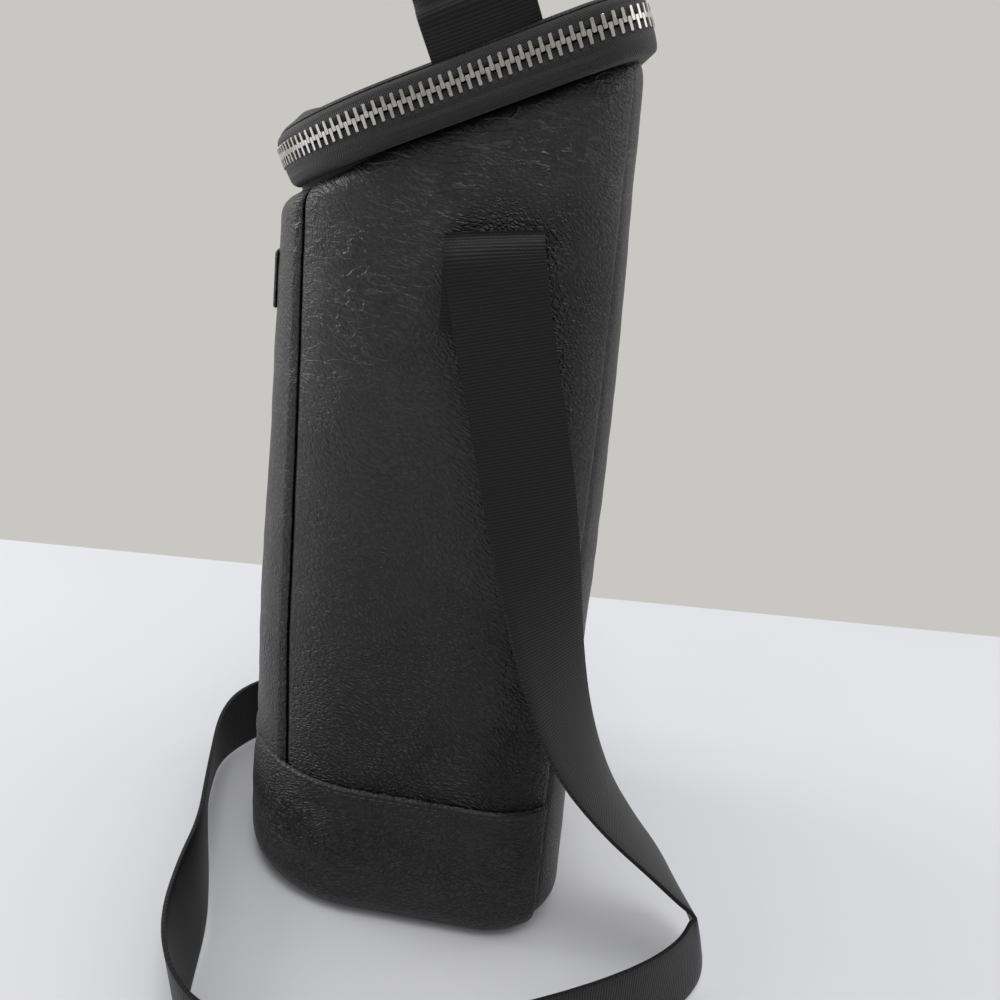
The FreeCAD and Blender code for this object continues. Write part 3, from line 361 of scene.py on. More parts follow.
def herringbone(name, dark, light, thread, band, depth):
    """Polyester zip tape in herringbone twill: narrow bands of slanted yarns that turn at each band."""
    made, tree = material(name)
    flat = add(tree, "SeparateXYZ", {0: add(tree, "UVMap").outputs[0]})
    turn = add(tree, "Math", {0: flat.outputs[1], 1: band * MM}, operation="PINGPONG").outputs[0]
    slant = add(tree, "Math", {0: flat.outputs[0], 1: turn}, operation="ADD").outputs[0]
    count = add(tree, "Math", {0: slant, 1: thread * MM}, operation="DIVIDE").outputs[0]
    yarn = add(tree, "Math", {0: count, 1: 0.5}, operation="PINGPONG").outputs[0]
    crown = add(tree, "MapRange", {"Value": yarn, "From Max": 0.45},
                interpolation_type="SMOOTHSTEP").outputs[0]
    bump = add(tree, "Bump", {"Height": crown, "Strength": 0.8, "Distance": depth * MM})
    # Colour follows the yarns' height: painted highlight on the crowns and painted shade in the gaps
    # between them
    colour = add(tree, "Mix", {"Factor": crown, "A": linear(dark), "B": linear(light)}, data_type="RGBA")
    surface(tree, Base_Color=colour.outputs["Result"], Roughness=0.62, IOR=1.5, Sheen_Weight=0.1,
            Normal=bump.outputs[0])
    return made


def nickel_plate():
    """Nickel-plated brass, tumbled: bright grey, with a faint haze that varies from tooth to tooth."""
    made, tree = material("nickel_plate")
    spot = add(tree, "TexCoord").outputs["Object"]
    haze = add(tree, "TexNoise", {"Vector": spot, "Scale": 1 / (2.5 * MM), "Detail": 2}).outputs[0]
    gloss = add(tree, "MapRange", {"Value": haze, "To Min": 0.18, "To Max": 0.42}).outputs[0]
    tone = add(tree, "Mix", {"Factor": haze, "A": linear("#c2c0bb"), "B": linear("#eceae5")},
               data_type="RGBA")
    surface(tree, Base_Color=tone.outputs["Result"], Metallic=1.0, Roughness=gloss)
    return made


def board():
    """Polypropylene sheet, calendered: flat matt black with a faint even tooth."""
    made, tree = material("polypropylene_sheet")
    spot = add(tree, "TexCoord").outputs["Object"]
    tooth = add(tree, "TexNoise", {"Vector": spot, "Scale": 1 / (1.2 * MM), "Detail": 2}).outputs[0]
    bump = add(tree, "Bump", {"Height": tooth, "Strength": 0.3, "Distance": 0.05 * MM})
    tone = add(tree, "Mix", {"Factor": tooth, "A": linear("#1a1a1c"), "B": linear("#262628")},
               data_type="RGBA")
    surface(tree, Base_Color=tone.outputs["Result"], Roughness=0.6, IOR=1.49, Normal=bump.outputs[0])
    return made


def sewing_thread():
    """Bonded nylon sewing thread, twisted from three plies: dull black with a fine slanted twist."""
    made, tree = material("bonded_nylon_thread")
    spot = add(tree, "TexCoord").outputs["Object"]
    twist = add(tree, "TexNoise", {"Vector": spot, "Scale": 1 / (0.4 * MM), "Detail": 1}).outputs[0]
    tone = add(tree, "Mix", {"Factor": twist, "A": linear("#1c1c1e"), "B": linear("#4a4a4d")},
               data_type="RGBA")
    surface(tree, Base_Color=tone.outputs["Result"], Roughness=0.5, IOR=1.53)
    return made


def pale_floor():
    """A painted table top, matt and pale, barely uneven."""
    made, tree = material("painted_table")
    spot = add(tree, "TexCoord").outputs["Object"]
    cloud = add(tree, "TexNoise", {"Vector": spot, "Scale": 1 / (160 * MM), "Detail": 2}).outputs[0]
    tone = add(tree, "Mix", {"Factor": cloud, "A": linear("#cbcbcd"), "B": linear("#cecfd0")},
               data_type="RGBA")
    surface(tree, Base_Color=tone.outputs["Result"], Roughness=0.6)
    return made


SIDE_HIDE = cowhide("milled_cowhide", "#030304", "#2b2b2e", cell=1.1, depth=0.9, sheen=0.30)
BACK_HIDE = cowhide("smooth_cowhide", "#0e0e0f", "#353538", cell=0.9, depth=0.4, sheen=0.32)
BAND_HIDE = cowhide("band_cowhide", "#040405", "#28282b", cell=1.2, depth=1.0, sheen=0.30)
WEBBING = woven("polyester_webbing", "#020203", "#1b1b1d", rib=1.1, warp=0.8, depth=0.11, sheen=0.36)
TAPE = herringbone("zip_tape_twill", "#050506", "#181719", thread=0.95, band=1.5, depth=0.2)
LINING = herringbone("lining_twill", "#1c1c1e", "#303034", thread=0.7, band=60, depth=0.08)
NICKEL = nickel_plate()
BOARD = board()
THREAD = sewing_thread()

# ---------------------------------------------------------------- shoulder strap
WEB, PLY = 32, 1.6
# The strap's middle line from the right end to the left, each point with the way its outer face looks
ROUTE = [
    ((57.3, 19.2, 272.3), (-0.1, -0.1, 1)), ((60.0, 19.3, 273.2), (0.3, -0.1, 0.9)),
    ((64.0, 19.5, 271.5), (0.7, -0.1, 0.7)), ((66.8, 20.4, 265), (0.9, 0, 0.4)),
    ((67.6, 22.6, 254), (1, 0, 0.1)), ((67.2, 26.5, 238), (1, 0, 0)), ((68, 35, 206), (1, 0.1, 0)),
    ((70.5, 43.5, 171), (0.9, 0.4, 0.1)), ((74, 52, 135), (0.7, 0.7, 0.2)),
    ((75.5, 62, 104), (0.5, 0.8, 0.3)), ((72, 78, 77), (0.2, 0.8, 0.6)),
    ((66, 95, 55), (0, 0.7, 0.7)), ((63.5, 108, 40), (-0.1, 0.7, 0.7)),
    ((66, 117.5, 28.5), (-0.3, 0.8, 0.6)), ((75, 122.5, 21), (-0.1, 0.9, 0.3)),
    ((86, 116, 17.5), (0.5, 0.9, 0.1)), ((96, 106, 17), (0.7, 0.7, 0)),
    ((107, 92, 17), (0.8, 0.5, 0)), ((119, 71, 17), (0.9, 0.4, 0)), ((132, 42, 17), (0.9, 0.3, 0)),
    ((142, 10, 17), (1, 0.2, 0)), ((147, -24, 17), (1, 0, 0)), ((141, -50, 17), (0.8, -0.5, 0)),
    ((124, -64.5, 17), (0.4, -0.9, -0.1)), ((100, -71, 16.5), (0.2, -0.9, -0.3)),
    ((74, -74, 17), (0.1, -0.9, -0.3)), ((48, -77.5, 17), (0.2, -1, -0.1)),
    ((21, -84.5, 17), (0.2, -1, 0)), ((0, -90, 17), (0.2, -1, 0.1)),
    ((-22, -94, 17), (0.1, -1, 0.1)), ((-38, -95, 17), (-0.1, -1, 0.1)),
    ((-54, -91, 17), (-0.3, -0.9, 0)), ((-69, -81, 17), (-0.6, -0.8, 0)),
    ((-80, -64, 17), (-0.9, -0.4, 0.1)), ((-85, -44, 17), (-0.8, -0.1, 0.6)),
    ((-86, -26, 26), (-0.4, -0.4, 0.8)), ((-85, -12, 48), (-0.3, -0.8, 0.4)),
    ((-84, -3, 80), (-0.5, -0.8, 0.2)), ((-82, 4, 115), (-0.7, -0.7, 0.1)),
    ((-78, 8.5, 153), (-0.9, -0.4, 0)), ((-72, 13, 194), (-1, -0.1, 0)),
    ((-66.5, 16, 232), (-1, 0, 0)), ((-62.7, 18.4, 253), (-1, 0, 0)),
    ((-62.6, 18.9, 264), (-1, 0, 0.1)), ((-61.8, 19.2, 271.0), (-0.8, -0.1, 0.5)),
    ((-59.6, 19.3, 273.0), (-0.4, -0.1, 0.9)), ((-57.3, 19.2, 272.3), (0.1, -0.1, 1)),
]


def along_spline(points):
    """Points read from a smooth spline that has the given control points."""
    curve = bpy.data.curves.new("line", "CURVE")
    curve.dimensions = "3D"
    curve.resolution_u = 10
    spline = curve.splines.new("NURBS")
    spline.points.add(len(points) - 1)
    for control, point in zip(spline.points, points):
        control.co = (*point, 1)
    spline.order_u = 3
    spline.use_endpoint_u = True
    line = bpy.data.objects.new("line", curve)
    bpy.context.scene.collection.objects.link(line)
    mesh = bpy.data.meshes.new_from_object(line)
    read = [vertex.co.copy() for vertex in mesh.vertices]
    bpy.data.objects.remove(line)
    bpy.data.meshes.remove(mesh)
    return read


def ribbon(name, line, faces, cup=0.25, width=WEB):
    """Webbing of one width that follows a line, its outer face turned as faces say."""
    steps = [0]
    for here, after in zip(line, line[1:]):
        steps.append(steps[-1] + (after - here).length)

    def place(across, along):
        k = round(along * (len(line) - 1))
        tangent = (line[min(k + 1, len(line) - 1)] - line[max(k - 1, 0)]).normalized()
        face = (faces[k] - tangent * faces[k].dot(tangent)).normalized()
        offset = (across - 0.5) * width
        bow = cup * (1 - (2 * across - 1) ** 2)
        return line[k] + tangent.cross(face) * offset + face * bow, (offset, steps[k]), 0

    return cut_sheet(name, 8, len(line) - 1, place, PLY, offset=0, edge=0.5)


strap_line = along_spline([Vector(point) for point, _ in ROUTE])
strap_turned = along_spline([Vector(point) + Vector(face).normalized() * 10 for point, face in ROUTE])
strap_faces = [turned - point for turned, point in zip(strap_turned, strap_line)]
strap = ribbon("shoulder_webbing", strap_line, strap_faces)
dress(strap, "bag", "webbing", WEBBING, "shoulder_strap")

# ---------------------------------------------------------------- leather of the walls
# The band's top edge, the radius of the foot, the band's upright part and its stitches below the edge
BAND_TOP, FOOT, HEM, STITCH_LINE = 60, 12, 48, 2.8
# Where the upper panels start behind the band, and how far each panel is set in from the outline
PANEL_LOW = 50
SIDE_IN, FRONT_IN, BACK_IN = -1.7, -0.7, -2.5
# How deep and how wide leather dips at an edge that laps another panel, and at one that is sewn
LAPPED, SEWN = (0.35, 1.2), (1.3, 3.5)
HIDE = 1.4


def roll(distance, radius):
    """How far a sheet has turned in at a distance from the edge it rolls over."""
    if distance >= radius:
        return 0
    return radius - math.sqrt(max(radius * radius - (radius - distance) ** 2, 0))


def tuck(along, below_top):
    """How far a panel's top has turned in under the tape: most at the round nose."""
    nose = smooth((-TUB.at(along)[0].y - 10) / 40)
    return roll(below_top, 8) * mix(0.42, 0.85, nose)


def gather(along, height, below_top):
    """How leather lies: up to 1 where long creases run under the zip, down to -1 where it is pebbled."""
    spot = wall(along, height, 0)
    anchor = math.hypot(spot.y - 30, height - 255) if abs(spot.x) > 45 else 200
    near_anchor = 1 - smooth((anchor - 18) / 40)
    near_foot = 1 - smooth((height - 80) / 90)
    creased = (1 - smooth((below_top - 30) / 90)) * (0.6 + 0.9 * wave(along / 22, height / 22, 3))
    pebbled = max(near_anchor, near_foot) * (0.8 + 0.8 * wave(along / 30, height / 30, 4))
    return min(max(creased - pebbled, -1), 1)


def slack(along, height):
    """How far padded leather swells out in mm: mid-height at the back, low at the front, and unevenly."""
    facing = TUB.at(along)[1].y
    swell = 2.2 * smooth(facing * 1.5) * math.exp(-((height - 205) / 75) ** 2)
    swell += 1.3 * smooth(-facing) * math.exp(-((height - 120) / 50) ** 2)
    return swell + 0.55 * wave(along / 45, height / 60, 11) + 0.22 * wave(along / 16, height / 11, 17)


def wall_panel(name, left, right, out, columns, rows, left_edge, right_edge):
    """A leather panel between two seams, from behind the base band up to the zip tape.

    An edge is how deep and how wide the leather dips into the seam beside it.
    """
    def place(across, up):
        height = mix(PANEL_LOW, 300, up)
        for _ in range(4):
            along = mix(right(height), left(height), across)
            ceiling = seat(along, out)
            height = mix(PANEL_LOW, ceiling, up)
        dip = left_edge[0] * (1 - smooth((along - left(height)) / left_edge[1]))
        dip += right_edge[0] * (1 - smooth((right(height) - along) / right_edge[1]))
        below_top = ceiling - height
        rest = smooth(below_top / 14) * smooth((height - BAND_TOP + 4) / 12)
        proud = out + slack(along, height) * rest - dip - tuck(along, below_top)
        return wall(along, height, proud), (along, height), gather(along, height, below_top)

    return cut_sheet(name, columns, rows, place, HIDE, edge=0.35)


def mirrored(edge):
    return lambda height: 2 * TUB.half - edge(height)


side_right = wall_panel("side_leather_right", back_seam, front_seam, SIDE_IN, 76, 180, LAPPED, SEWN)
dress(side_right, "bag", "leather", SIDE_HIDE, "side_panel_right")
side_left = wall_panel("side_leather_left", mirrored(front_seam), mirrored(back_seam), SIDE_IN, 76, 180,
                       SEWN, LAPPED)
dress(side_left, "bag", "leather", SIDE_HIDE, "side_panel_left")
front = wall_panel("front_leather", front_seam, mirrored(front_seam), FRONT_IN, 56, 150, SEWN, SEWN)
dress(front, "bag", "leather", SIDE_HIDE, "front_panel")


def foot_profile(down, straight):
    """Height and inset of leather at a length down from its top: straight, round the foot, then under."""
    if down < straight:
        return FOOT + straight - down, 0
    angle = min((down - straight) / FOOT, math.pi / 2)
    under = max(down - straight - FOOT * math.pi / 2, 0)
    return FOOT - FOOT * math.sin(angle), FOOT - FOOT * math.cos(angle) + under


def back_place(across, up):
    """The full-height back panel, which goes on under the base."""
    ceiling = 330
    for _ in range(3):
        down = (1 - up) * (ceiling - FOOT + FOOT * math.pi / 2 + 9)
        height, inset = foot_profile(down, ceiling - FOOT)
        reach = back_seam(height)
        along = mix(reach, -reach, across)
        ceiling = seat(along, BACK_IN)
    edge = reach - abs(along)
    below_top = ceiling - height
    dip = 0.9 * (1 - smooth(edge / 4)) + tuck(along, below_top)
    soft = slack(along, height) * smooth(below_top / 14) * smooth((height - 6) / 20)
    point = wall(along, max(height, 0.9), soft + BACK_IN - dip - inset)
    return point, (along, height), 0.6 * gather(along, height, below_top)


back = cut_sheet("back_leather", 64, 210, back_place, HIDE, edge=0.3)
dress(back, "bag", "leather", BACK_HIDE, "back_panel")


def band_place(across, up):
    """The base band: a turned and stitched top edge, soft folds and a round foot."""
    down = (1 - up) * (HEM + FOOT * math.pi / 2 + 5)
    height, inset = foot_profile(down, HEM)
    reach = back_seam(height)
    along = mix(2 * TUB.half - reach, reach, across)
    edge = min(along - reach, 2 * TUB.half - reach - along)
    turned = 1.1 * (1 - smooth(down / 1.3)) - 0.4 * math.exp(-((down - 1.3) / 0.8) ** 2)
    groove = 0.3 * math.exp(-((down - STITCH_LINE) / 0.5) ** 2)
    soft = (0.9 * wave(along / 38, height / 26, 5) + 0.3 * wave(along / 14, height / 10, 6))
    soft *= smooth(down / 10) * smooth((height - 2) / 18)
    proud = soft - turned - groove - 0.35 * (1 - smooth(edge / 1.2)) - inset
    pebbled = 0.35 + 1.1 * wave(along / 25, height / 25, 8)
    return wall(along, height, proud), (along, down), -min(max(pebbled, 0), 1)


band = cut_sheet("base_band_leather", 240, 64, band_place, HIDE, edge=0.35)
dress(band, "bag", "band_leather", BAND_HIDE, "base_band")


def stitches(name, body, slot, spots, length=2.7, width=0.75):
    """A row of lockstitches: one rounded stitch, copied to each spot, its way and its outward side."""
    bpy.ops.object.select_all(action="DESELECT")
    bpy.ops.mesh.primitive_uv_sphere_add(segments=8, ring_count=6, radius=0.5 * MM)
    first = bpy.context.object
    first.name = first.data.name = name
    row = [first]
    for _ in spots[1:]:
        row.append(first.copy())
        row[-1].data = first.data.copy()
        bpy.context.scene.collection.objects.link(row[-1])
    for piece, (middle, way, out) in zip(row, spots):
        turn = Matrix((way * length, out.cross(way) * width, out * width)).transposed().to_4x4()
        piece.data.transform(Matrix.Translation(middle * MM) @ turn)
    choose(*row)
    bpy.ops.object.join()
    bpy.ops.object.shade_smooth()
    return dress(first, body, slot, THREAD)


def band_stitches():
    start = back_seam(BAND_TOP) + 4
    count = round((2 * TUB.half - 2 * start) / 3.6)
    spots = []
    for k in range(count + 1):
        along = mix(start, 2 * TUB.half - start, k / count)
        out = TUB.at(along)[1]
        spots.append((wall(along, BAND_TOP - STITCH_LINE, -0.25), Vector((-out.y, out.x, 0)), out))
    return spots


stitches("band_stitches", "bag", "band_leather", band_stitches())

# ---------------------------------------------------------------- zip tapes and hinge
TAPE_PLY = 0.9
# Half the hinge strip's length, and its lower and upper edge beside the zip's plane
HINGE_HALF, HINGE_LOW, HINGE_HIGH = 40, -10.4, 6.7


def tape_place(lift_from, lift_to, turn_in):
    """A tape round the rim: upright beside the teeth, then rounded inward to where it is sewn.

    It reaches furthest in at the back corners, where the wall's corners are rounder than the rim's.
    """
    radius = 3.0  # of the tape's turn inward
    upright = abs(lift_to - lift_from) - radius
    sign = 1 if lift_to > lift_from else -1
    length = upright + radius * math.pi / 2 + turn_in

    def place(across, up):
        down = (1 - up) * length if sign < 0 else up * length
        along = (1 - across) * 2 * RIM.half
        to_corner = min(along, 2 * RIM.half - along) - RIM.flat - RIM.bend / 2
        reach = 1 + 0.65 * math.exp(-(to_corner / 16) ** 2)
        if down < upright:
            out, lift = 0, lift_from + sign * down
        else:
            angle = min((down - upright) / radius, math.pi / 2)
            under = max(down - upright - radius * math.pi / 2, 0)
            out = -radius * (1 - math.cos(angle)) - under * reach
            lift = lift_from + sign * (upright + radius * math.sin(angle))
        puff = 0.25 * math.sin(math.pi * min(down / upright, 1))
        return rim(along, out + puff, lift), (along, lift), 0

    return place


tape_low = cut_sheet("zip_tape_lower", 300, 16, tape_place(lift_from=-1.2, lift_to=-10.8, turn_in=8),
                     TAPE_PLY, edge=0.2, closed=True)
dress(tape_low, "bag", "tape", TAPE, "zip_tape_body")
tape_high = cut_sheet("zip_tape_upper", 300, 14, tape_place(lift_from=1.2, lift_to=7.0, turn_in=5),
                      TAPE_PLY, edge=0.2, closed=True)
dress(tape_high, "lid", "tape", TAPE, "zip_tape_lid")


def hinge_place(across, up):
    """The leather hinge strip behind the zip's two ends."""
    lift = mix(HINGE_LOW, HINGE_HIGH, up)
    along = mix(HINGE_HALF, -HINGE_HALF, across)
    to_end = HINGE_HALF - abs(along)
    swell = 0.8 - 0.35 * (1 - smooth(to_end / 1.5))
    swell = swell - 0.4 * roll(lift - HINGE_LOW, 4) - 0.4 * roll(HINGE_HIGH - lift, 3)
    return rim(along, swell, lift), (along, lift), 0.6


hinge = cut_sheet("hinge_leather", 54, 24, hinge_place, HIDE, edge=0.3)
dress(hinge, None, "leather", SIDE_HIDE, "hinge_strip_lower", "hinge_strip_upper")
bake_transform(hinge)


# ---------------------------------------------------------------- lid
# The lid's edge over the zip's plane, and how far its rim, its crown and the part over the nose rise
LID_EDGE, LID_ROLL, LID_CROWN, LID_NOSE = 7.3, 0.9, 3.6, 2.4


def lid_place(across, up):
    """The padded leather of the lid: low at its edge, barely crowned and fuller over the nose."""
    along = (1 - across) * 2 * RIM.half
    edge_point, normal = RIM.at(along)
    edge_point = edge_point - normal * 2.2
    middle = Vector((0, -2, 0))
    spot = middle + (edge_point - middle) * (1 - up)
    to_edge = (edge_point - spot).length
    lift = LID_EDGE + LID_ROLL * smooth(to_edge / 1.5) + LID_CROWN * smooth(to_edge / 60)
    lift += LID_NOSE * math.exp(-((spot.y + 50) / 8) ** 2) * smooth(to_edge / 8)
    lift += 0.4 * wave(spot.x / 20, spot.y / 20, 21) * smooth(to_edge / 12)
    crease = 0.2 + 0.7 * wave(spot.x / 18, spot.y / 18, 9)
    return slanted(spot.x, spot.y, lift), (spot.x, spot.y), crease


lid_leather = cut_sheet("lid_leather", 200, 48, lid_place, 1.0, edge=0.3, closed=True)
dress(lid_leather, "lid", "leather", BACK_HIDE, "lid_panel")


def disc(name, outline, inset, height, wrinkle, thickness, put, faces_up=True, crease=0):
    """A sheet cut to a D and drawn in rings round its middle; put says where each spot of it goes."""
    def place(across, up):
        along = (1 - across if faces_up else across) * 2 * outline.half
        edge_point, normal = outline.at(along)
        spot = (edge_point - normal * inset) * (1 - up)
        lift = height + wrinkle * wave(spot.x / 16, spot.y / 16, 31) * smooth(up * 6)
        return put(spot.x, spot.y, lift), (spot.x, spot.y), crease

    return cut_sheet(name, 120, 24, place, thickness, edge=0, closed=True)


def as_drawn(x, y, z):
    return Vector((x, y, z))


lid_cloth = disc("lid_lining_cloth", RIM, inset=8, height=0.5, wrinkle=0.5, thickness=0.7, put=slanted)
dress(lid_cloth, "lid", "lining", LINING, "lid_lining", "lid_padding")


# ---------------------------------------------------------------- lining of the bottle space
# The wall lining's foot, and how far the lining is set in from the outline
LINING_LOW, LINING_IN = 9.2, -8.6


def lining_place(across, up):
    """The wall's lining, lightly puckered, up to just under the zip tape."""
    along = across * 2 * TUB.half
    height = mix(LINING_LOW, seat(along, -9) - 0.3, up)
    pucker = 0.5 * wave(along / 30, height / 40, 41) * smooth((height - 12) / 20)
    return wall(along, height, LINING_IN + pucker), (along, height), 0


lining = cut_sheet("wall_lining_cloth", 160, 60, lining_place, 0.8, edge=0, closed=True)
dress(lining, "bag", "lining", LINING, "wall_lining", "wall_padding")

base_cloth = disc("base_lining_cloth", TUB, inset=9.4, height=9.4, wrinkle=0.3, thickness=0.7, put=as_drawn)
dress(base_cloth, "bag", "lining", LINING, "base_lining", "base_pad")
base_skin = disc("base_leather", TUB, inset=13.5, height=0.2, wrinkle=0, thickness=1.2, put=as_drawn,
                 faces_up=False, crease=0.2)
dress(base_skin, "bag", "band_leather", BAND_HIDE, "base_panel")

# ---------------------------------------------------------------- grab handle
# The handle's place up the slope, and its middle line across the lid: side and lift over the zip
HANDLE_AT = 16.2
HANDLE_ROUTE = [(55.5, 7.4), (56.6, 13), (58.0, 18), (57.0, 21.5), (52.5, 23.5), (50.0, 26.5), (50.5, 34),
                (48.5, 43), (40, 49.5), (22, 53), (-22, 53), (-40, 49.5), (-48.5, 43), (-50.5, 34),
                (-50.0, 26.5), (-52.5, 23.5), (-57.0, 21.5), (-58.0, 18), (-56.6, 13), (-55.5, 7.4)]
handle_line = along_spline([slanted(x, HANDLE_AT, lift) for x, lift in HANDLE_ROUTE])
slope_way = slanted(0, 1, 0) - slanted(0, 0, 0)
handle_faces = [slope_way.cross(before - after) for before, after in
                zip(handle_line[:1] + handle_line, handle_line[1:] + handle_line[-1:])]
handle = ribbon("handle_webbing", handle_line, handle_faces, cup=-1.2, width=36)
dress(handle, "lid", "webbing", WEBBING, "handle_strap")


# ---------------------------------------------------------------- sewn ends of the shoulder strap
ANCHOR_BACK, ANCHOR_UP = 19.2, 272


def anchor(side):
    """Frame on a side panel where the strap is sewn: X outward, Z up the leaning wall."""
    reach = TUB.normal.dot(TUB.corner_at) + TUB.corner + SIDE_IN - ANCHOR_UP * TAPER
    out = (reach - TUB.normal.y * ANCHOR_BACK) / TUB.normal.x
    turn = TUB.side if side > 0 else math.pi - TUB.side
    spin = Matrix.Rotation(turn, 4, "Z") @ Matrix.Rotation(-LEAN, 4, "Y")
    spin = spin @ Matrix.Rotation(side * math.radians(4), 4, "X")
    clear = Vector((math.cos(turn), math.sin(turn), 0)) * 0.1
    return Matrix.Translation(Vector((side * out, ANCHOR_BACK, ANCHOR_UP)) + clear) @ spin


def strap_end(side, name, node):
    """The strap's end: a leg sewn flat on the panel, folded over at its top to hang free."""
    frame_at = anchor(side)
    fold = [(0.9, -31), (0.9, -26), (0.9, -16), (0.9, -8), (0.9, -2.6), (1.0, -0.2), (2.6, 0.1)]
    line = along_spline([Vector((out, 0, up)) for out, up in fold])
    faces = []
    for k in range(len(line)):
        run = line[min(k + 1, len(line) - 1)] - line[max(k - 1, 0)]
        faces.append(Vector((run.z, 0, -run.x)) if k else Vector((1, 0, 0)))
    piece = ribbon(name, line, faces, cup=0)
    for vertex in piece.data.vertices:
        spot = vertex.co / MM
        if spot.x < 2.2:
            spot.y += side * spot.z * 0.06
        vertex.co = (frame_at @ spot) * MM
    return dress(piece, "bag", "webbing", WEBBING, node)


strap_end(1, "strap_sewn_end_right", "strap_end_right")
strap_end(-1, "strap_sewn_end_left", "strap_end_left")


# ---------------------------------------------------------------- bare plate on the front
PLATE_HALF, PLATE_LOW, PLATE_HIGH, PLATE_PROUD = 14.6, 235.4, 256.6, 0.7


def plate_place(across, up):
    """The bare plate, bent to the round front."""
    x = mix(-PLATE_HALF, PLATE_HALF, across)
    height = mix(PLATE_LOW, PLATE_HIGH, up)
    edge = min(PLATE_HALF - abs(x), height - PLATE_LOW, PLATE_HIGH - height)
    return wall(TUB.half - x, height, PLATE_PROUD - roll(edge, 1.2) * 0.6), (x, height), 0


plate = cut_sheet("front_plate_leather", 40, 30, plate_place, HIDE, edge=0.3)
dress(plate, "bag", "plate", BACK_HIDE, "front_plate")

# ---------------------------------------------------------------- puller tab
# The pin that the puller swings on, and its frame: along the zip, outward and square to the zip
PIN = Vector((-65.8295, 37.2119, 331.4124))
pull_along = Vector((-0.0716302, 0.9126094, 0.4025087))
pull_up = slanted(0, 0, 1) - slanted(0, 0, 0)
pull_out = pull_up.cross(pull_along)
PULL = Matrix((pull_along, pull_out, pull_up)).transposed()


# The tab's ends below the pin, half its width, its corners' radius and how far it stands out
TAB_LOW, TAB_HIGH, TAB_HALF, TAB_CORNER, TAB_PROUD = -54, -8.8, 6.5, 3, 3.0


def tab_place(across, up):
    """The puller's leather tab, stitched round its edge and round at its foot."""
    height = mix(TAB_LOW, TAB_HIGH, up)
    foot = max(TAB_CORNER - (height - TAB_LOW), 0)
    width = TAB_HALF - (TAB_CORNER - math.sqrt(max(TAB_CORNER ** 2 - foot * foot, 0)))
    x = mix(width, -width, across)
    edge = min(width - abs(x), height - TAB_LOW)
    swell = TAB_PROUD - roll(max(edge, 0), 0.8) * 0.5 - 0.15 * math.exp(-((edge - 1.9) / 0.4) ** 2)
    return PIN + PULL @ Vector((x, swell, height)), (x, height), 0.1


tab = cut_sheet("puller_tab_leather", 26, 60, tab_place, 3.4, edge=0.3)
dress(tab, "puller", "leather", BACK_HIDE, "puller_tab")

# ---------------------------------------------------------------- CAD nodes that keep their shape
def finish_solid(node, finish):
    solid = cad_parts[node]
    solid.data.materials.clear()
    solid.data.materials.append(finish)
    return solid


for node in ("zip_teeth_body", "zip_teeth_lid", "zip_stops_body", "zip_stops_lid", "zip_slider",
             "puller_link"):
    solid = finish_solid(node, NICKEL)
    weld = solid.modifiers.new("weld", "WELD")
    weld.merge_threshold = 0.01 * MM
    round_off = solid.modifiers.new("bevel", "BEVEL")
    round_off.width = 0.2 * MM
    round_off.segments = 2
    round_off.limit_method = "ANGLE"
    round_off.angle_limit = math.radians(35)
for node in ("base_board", "lid_board"):
    finish_solid(node, BOARD)

# ---------------------------------------------------------------- stage and light
bpy.ops.object.select_all(action="DESELECT")
bpy.ops.mesh.primitive_cube_add(size=1)
floor = bpy.context.object
floor.name = floor.data.name = "table"
for vertex in floor.data.vertices:
    vertex.co = (mix(-0.295, 1.305, vertex.co.x + 0.5), vertex.co.y * 2.4, vertex.co.z * 0.03 - 0.015)
apply(floor, "BEVEL", width=0.006, segments=3)
floor.data.materials.append(pale_floor())

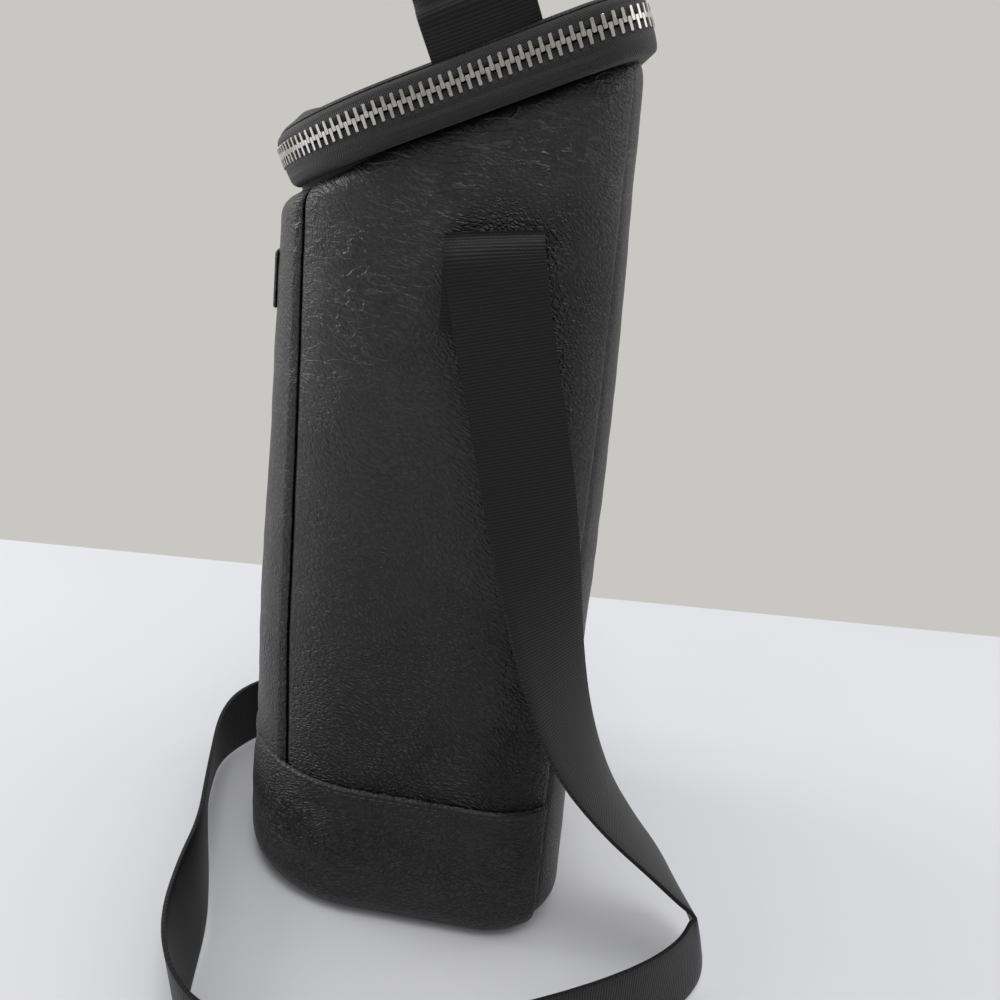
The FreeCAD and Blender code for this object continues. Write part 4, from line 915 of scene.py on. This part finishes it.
world = bpy.data.worlds.new("studio")
bpy.context.scene.world = world
world.use_nodes = True
world.node_tree.nodes.clear()
sky = world.node_tree
rays = add(sky, "LightPath").outputs
seen = add(sky, "Math", {0: rays["Is Camera Ray"], 1: rays["Is Glossy Ray"]}, operation="MAXIMUM")
seen = add(sky, "Math", {0: seen.outputs[0], 1: rays["Is Transmission Ray"]}, operation="MAXIMUM")
# The room is dimmer low down behind the camera, for all but what the camera itself sees
way = add(sky, "SeparateXYZ", {0: add(sky, "TexCoord").outputs["Generated"]})
behind = add(sky, "MapRange", {"Value": way.outputs[0], "From Min": -0.1, "From Max": 0.5})
low = add(sky, "MapRange", {"Value": way.outputs[2], "From Min": 0.15, "From Max": 0.7,
                            "To Min": 1.0, "To Max": 0.0})
dim = add(sky, "Math", {0: behind.outputs[0], 1: low.outputs[0]}, operation="MULTIPLY")
unseen = add(sky, "Math", {0: 1.0, 1: rays["Is Camera Ray"]}, operation="SUBTRACT")
dim = add(sky, "Math", {0: dim.outputs[0], 1: unseen.outputs[0]}, operation="MULTIPLY")
share = add(sky, "Math", {0: dim.outputs[0], 1: -0.5, 2: 1.0}, operation="MULTIPLY_ADD").outputs[0]
backdrop = add(sky, "Background", {"Color": linear("#c8c7c4"), "Strength": share})
fill = add(sky, "Math", {0: share, 1: 1.03}, operation="MULTIPLY")
room = add(sky, "Background", {"Color": linear("#f6f6f9"), "Strength": fill.outputs[0]})
both = add(sky, "MixShader", {0: seen.outputs[0], 1: room.outputs[0], 2: backdrop.outputs[0]})
add(sky, "OutputWorld", {"Surface": both.outputs[0]})


def softbox(name, place, aim, size, power):
    bpy.ops.object.light_add(type="AREA", location=place)
    lamp = bpy.context.object
    lamp.name = name
    lamp.data.size = size
    lamp.data.energy = power
    lamp.rotation_euler = (Vector(aim) - Vector(place)).to_track_quat("-Z", "Y").to_euler()


softbox("overhead", (0.75, 0.1, 2.0), (0.1, 0, 0.1), 0.7, 12)
softbox("front_left", (-0.3, -1.7, 0.9), (0, 0, 0.2), 0.9, 14)
softbox("back_right", (-0.3, 1.7, 1.0), (0, 0, 0.2), 1.3, 5)

bpy.context.scene.view_settings.view_transform = "Standard"
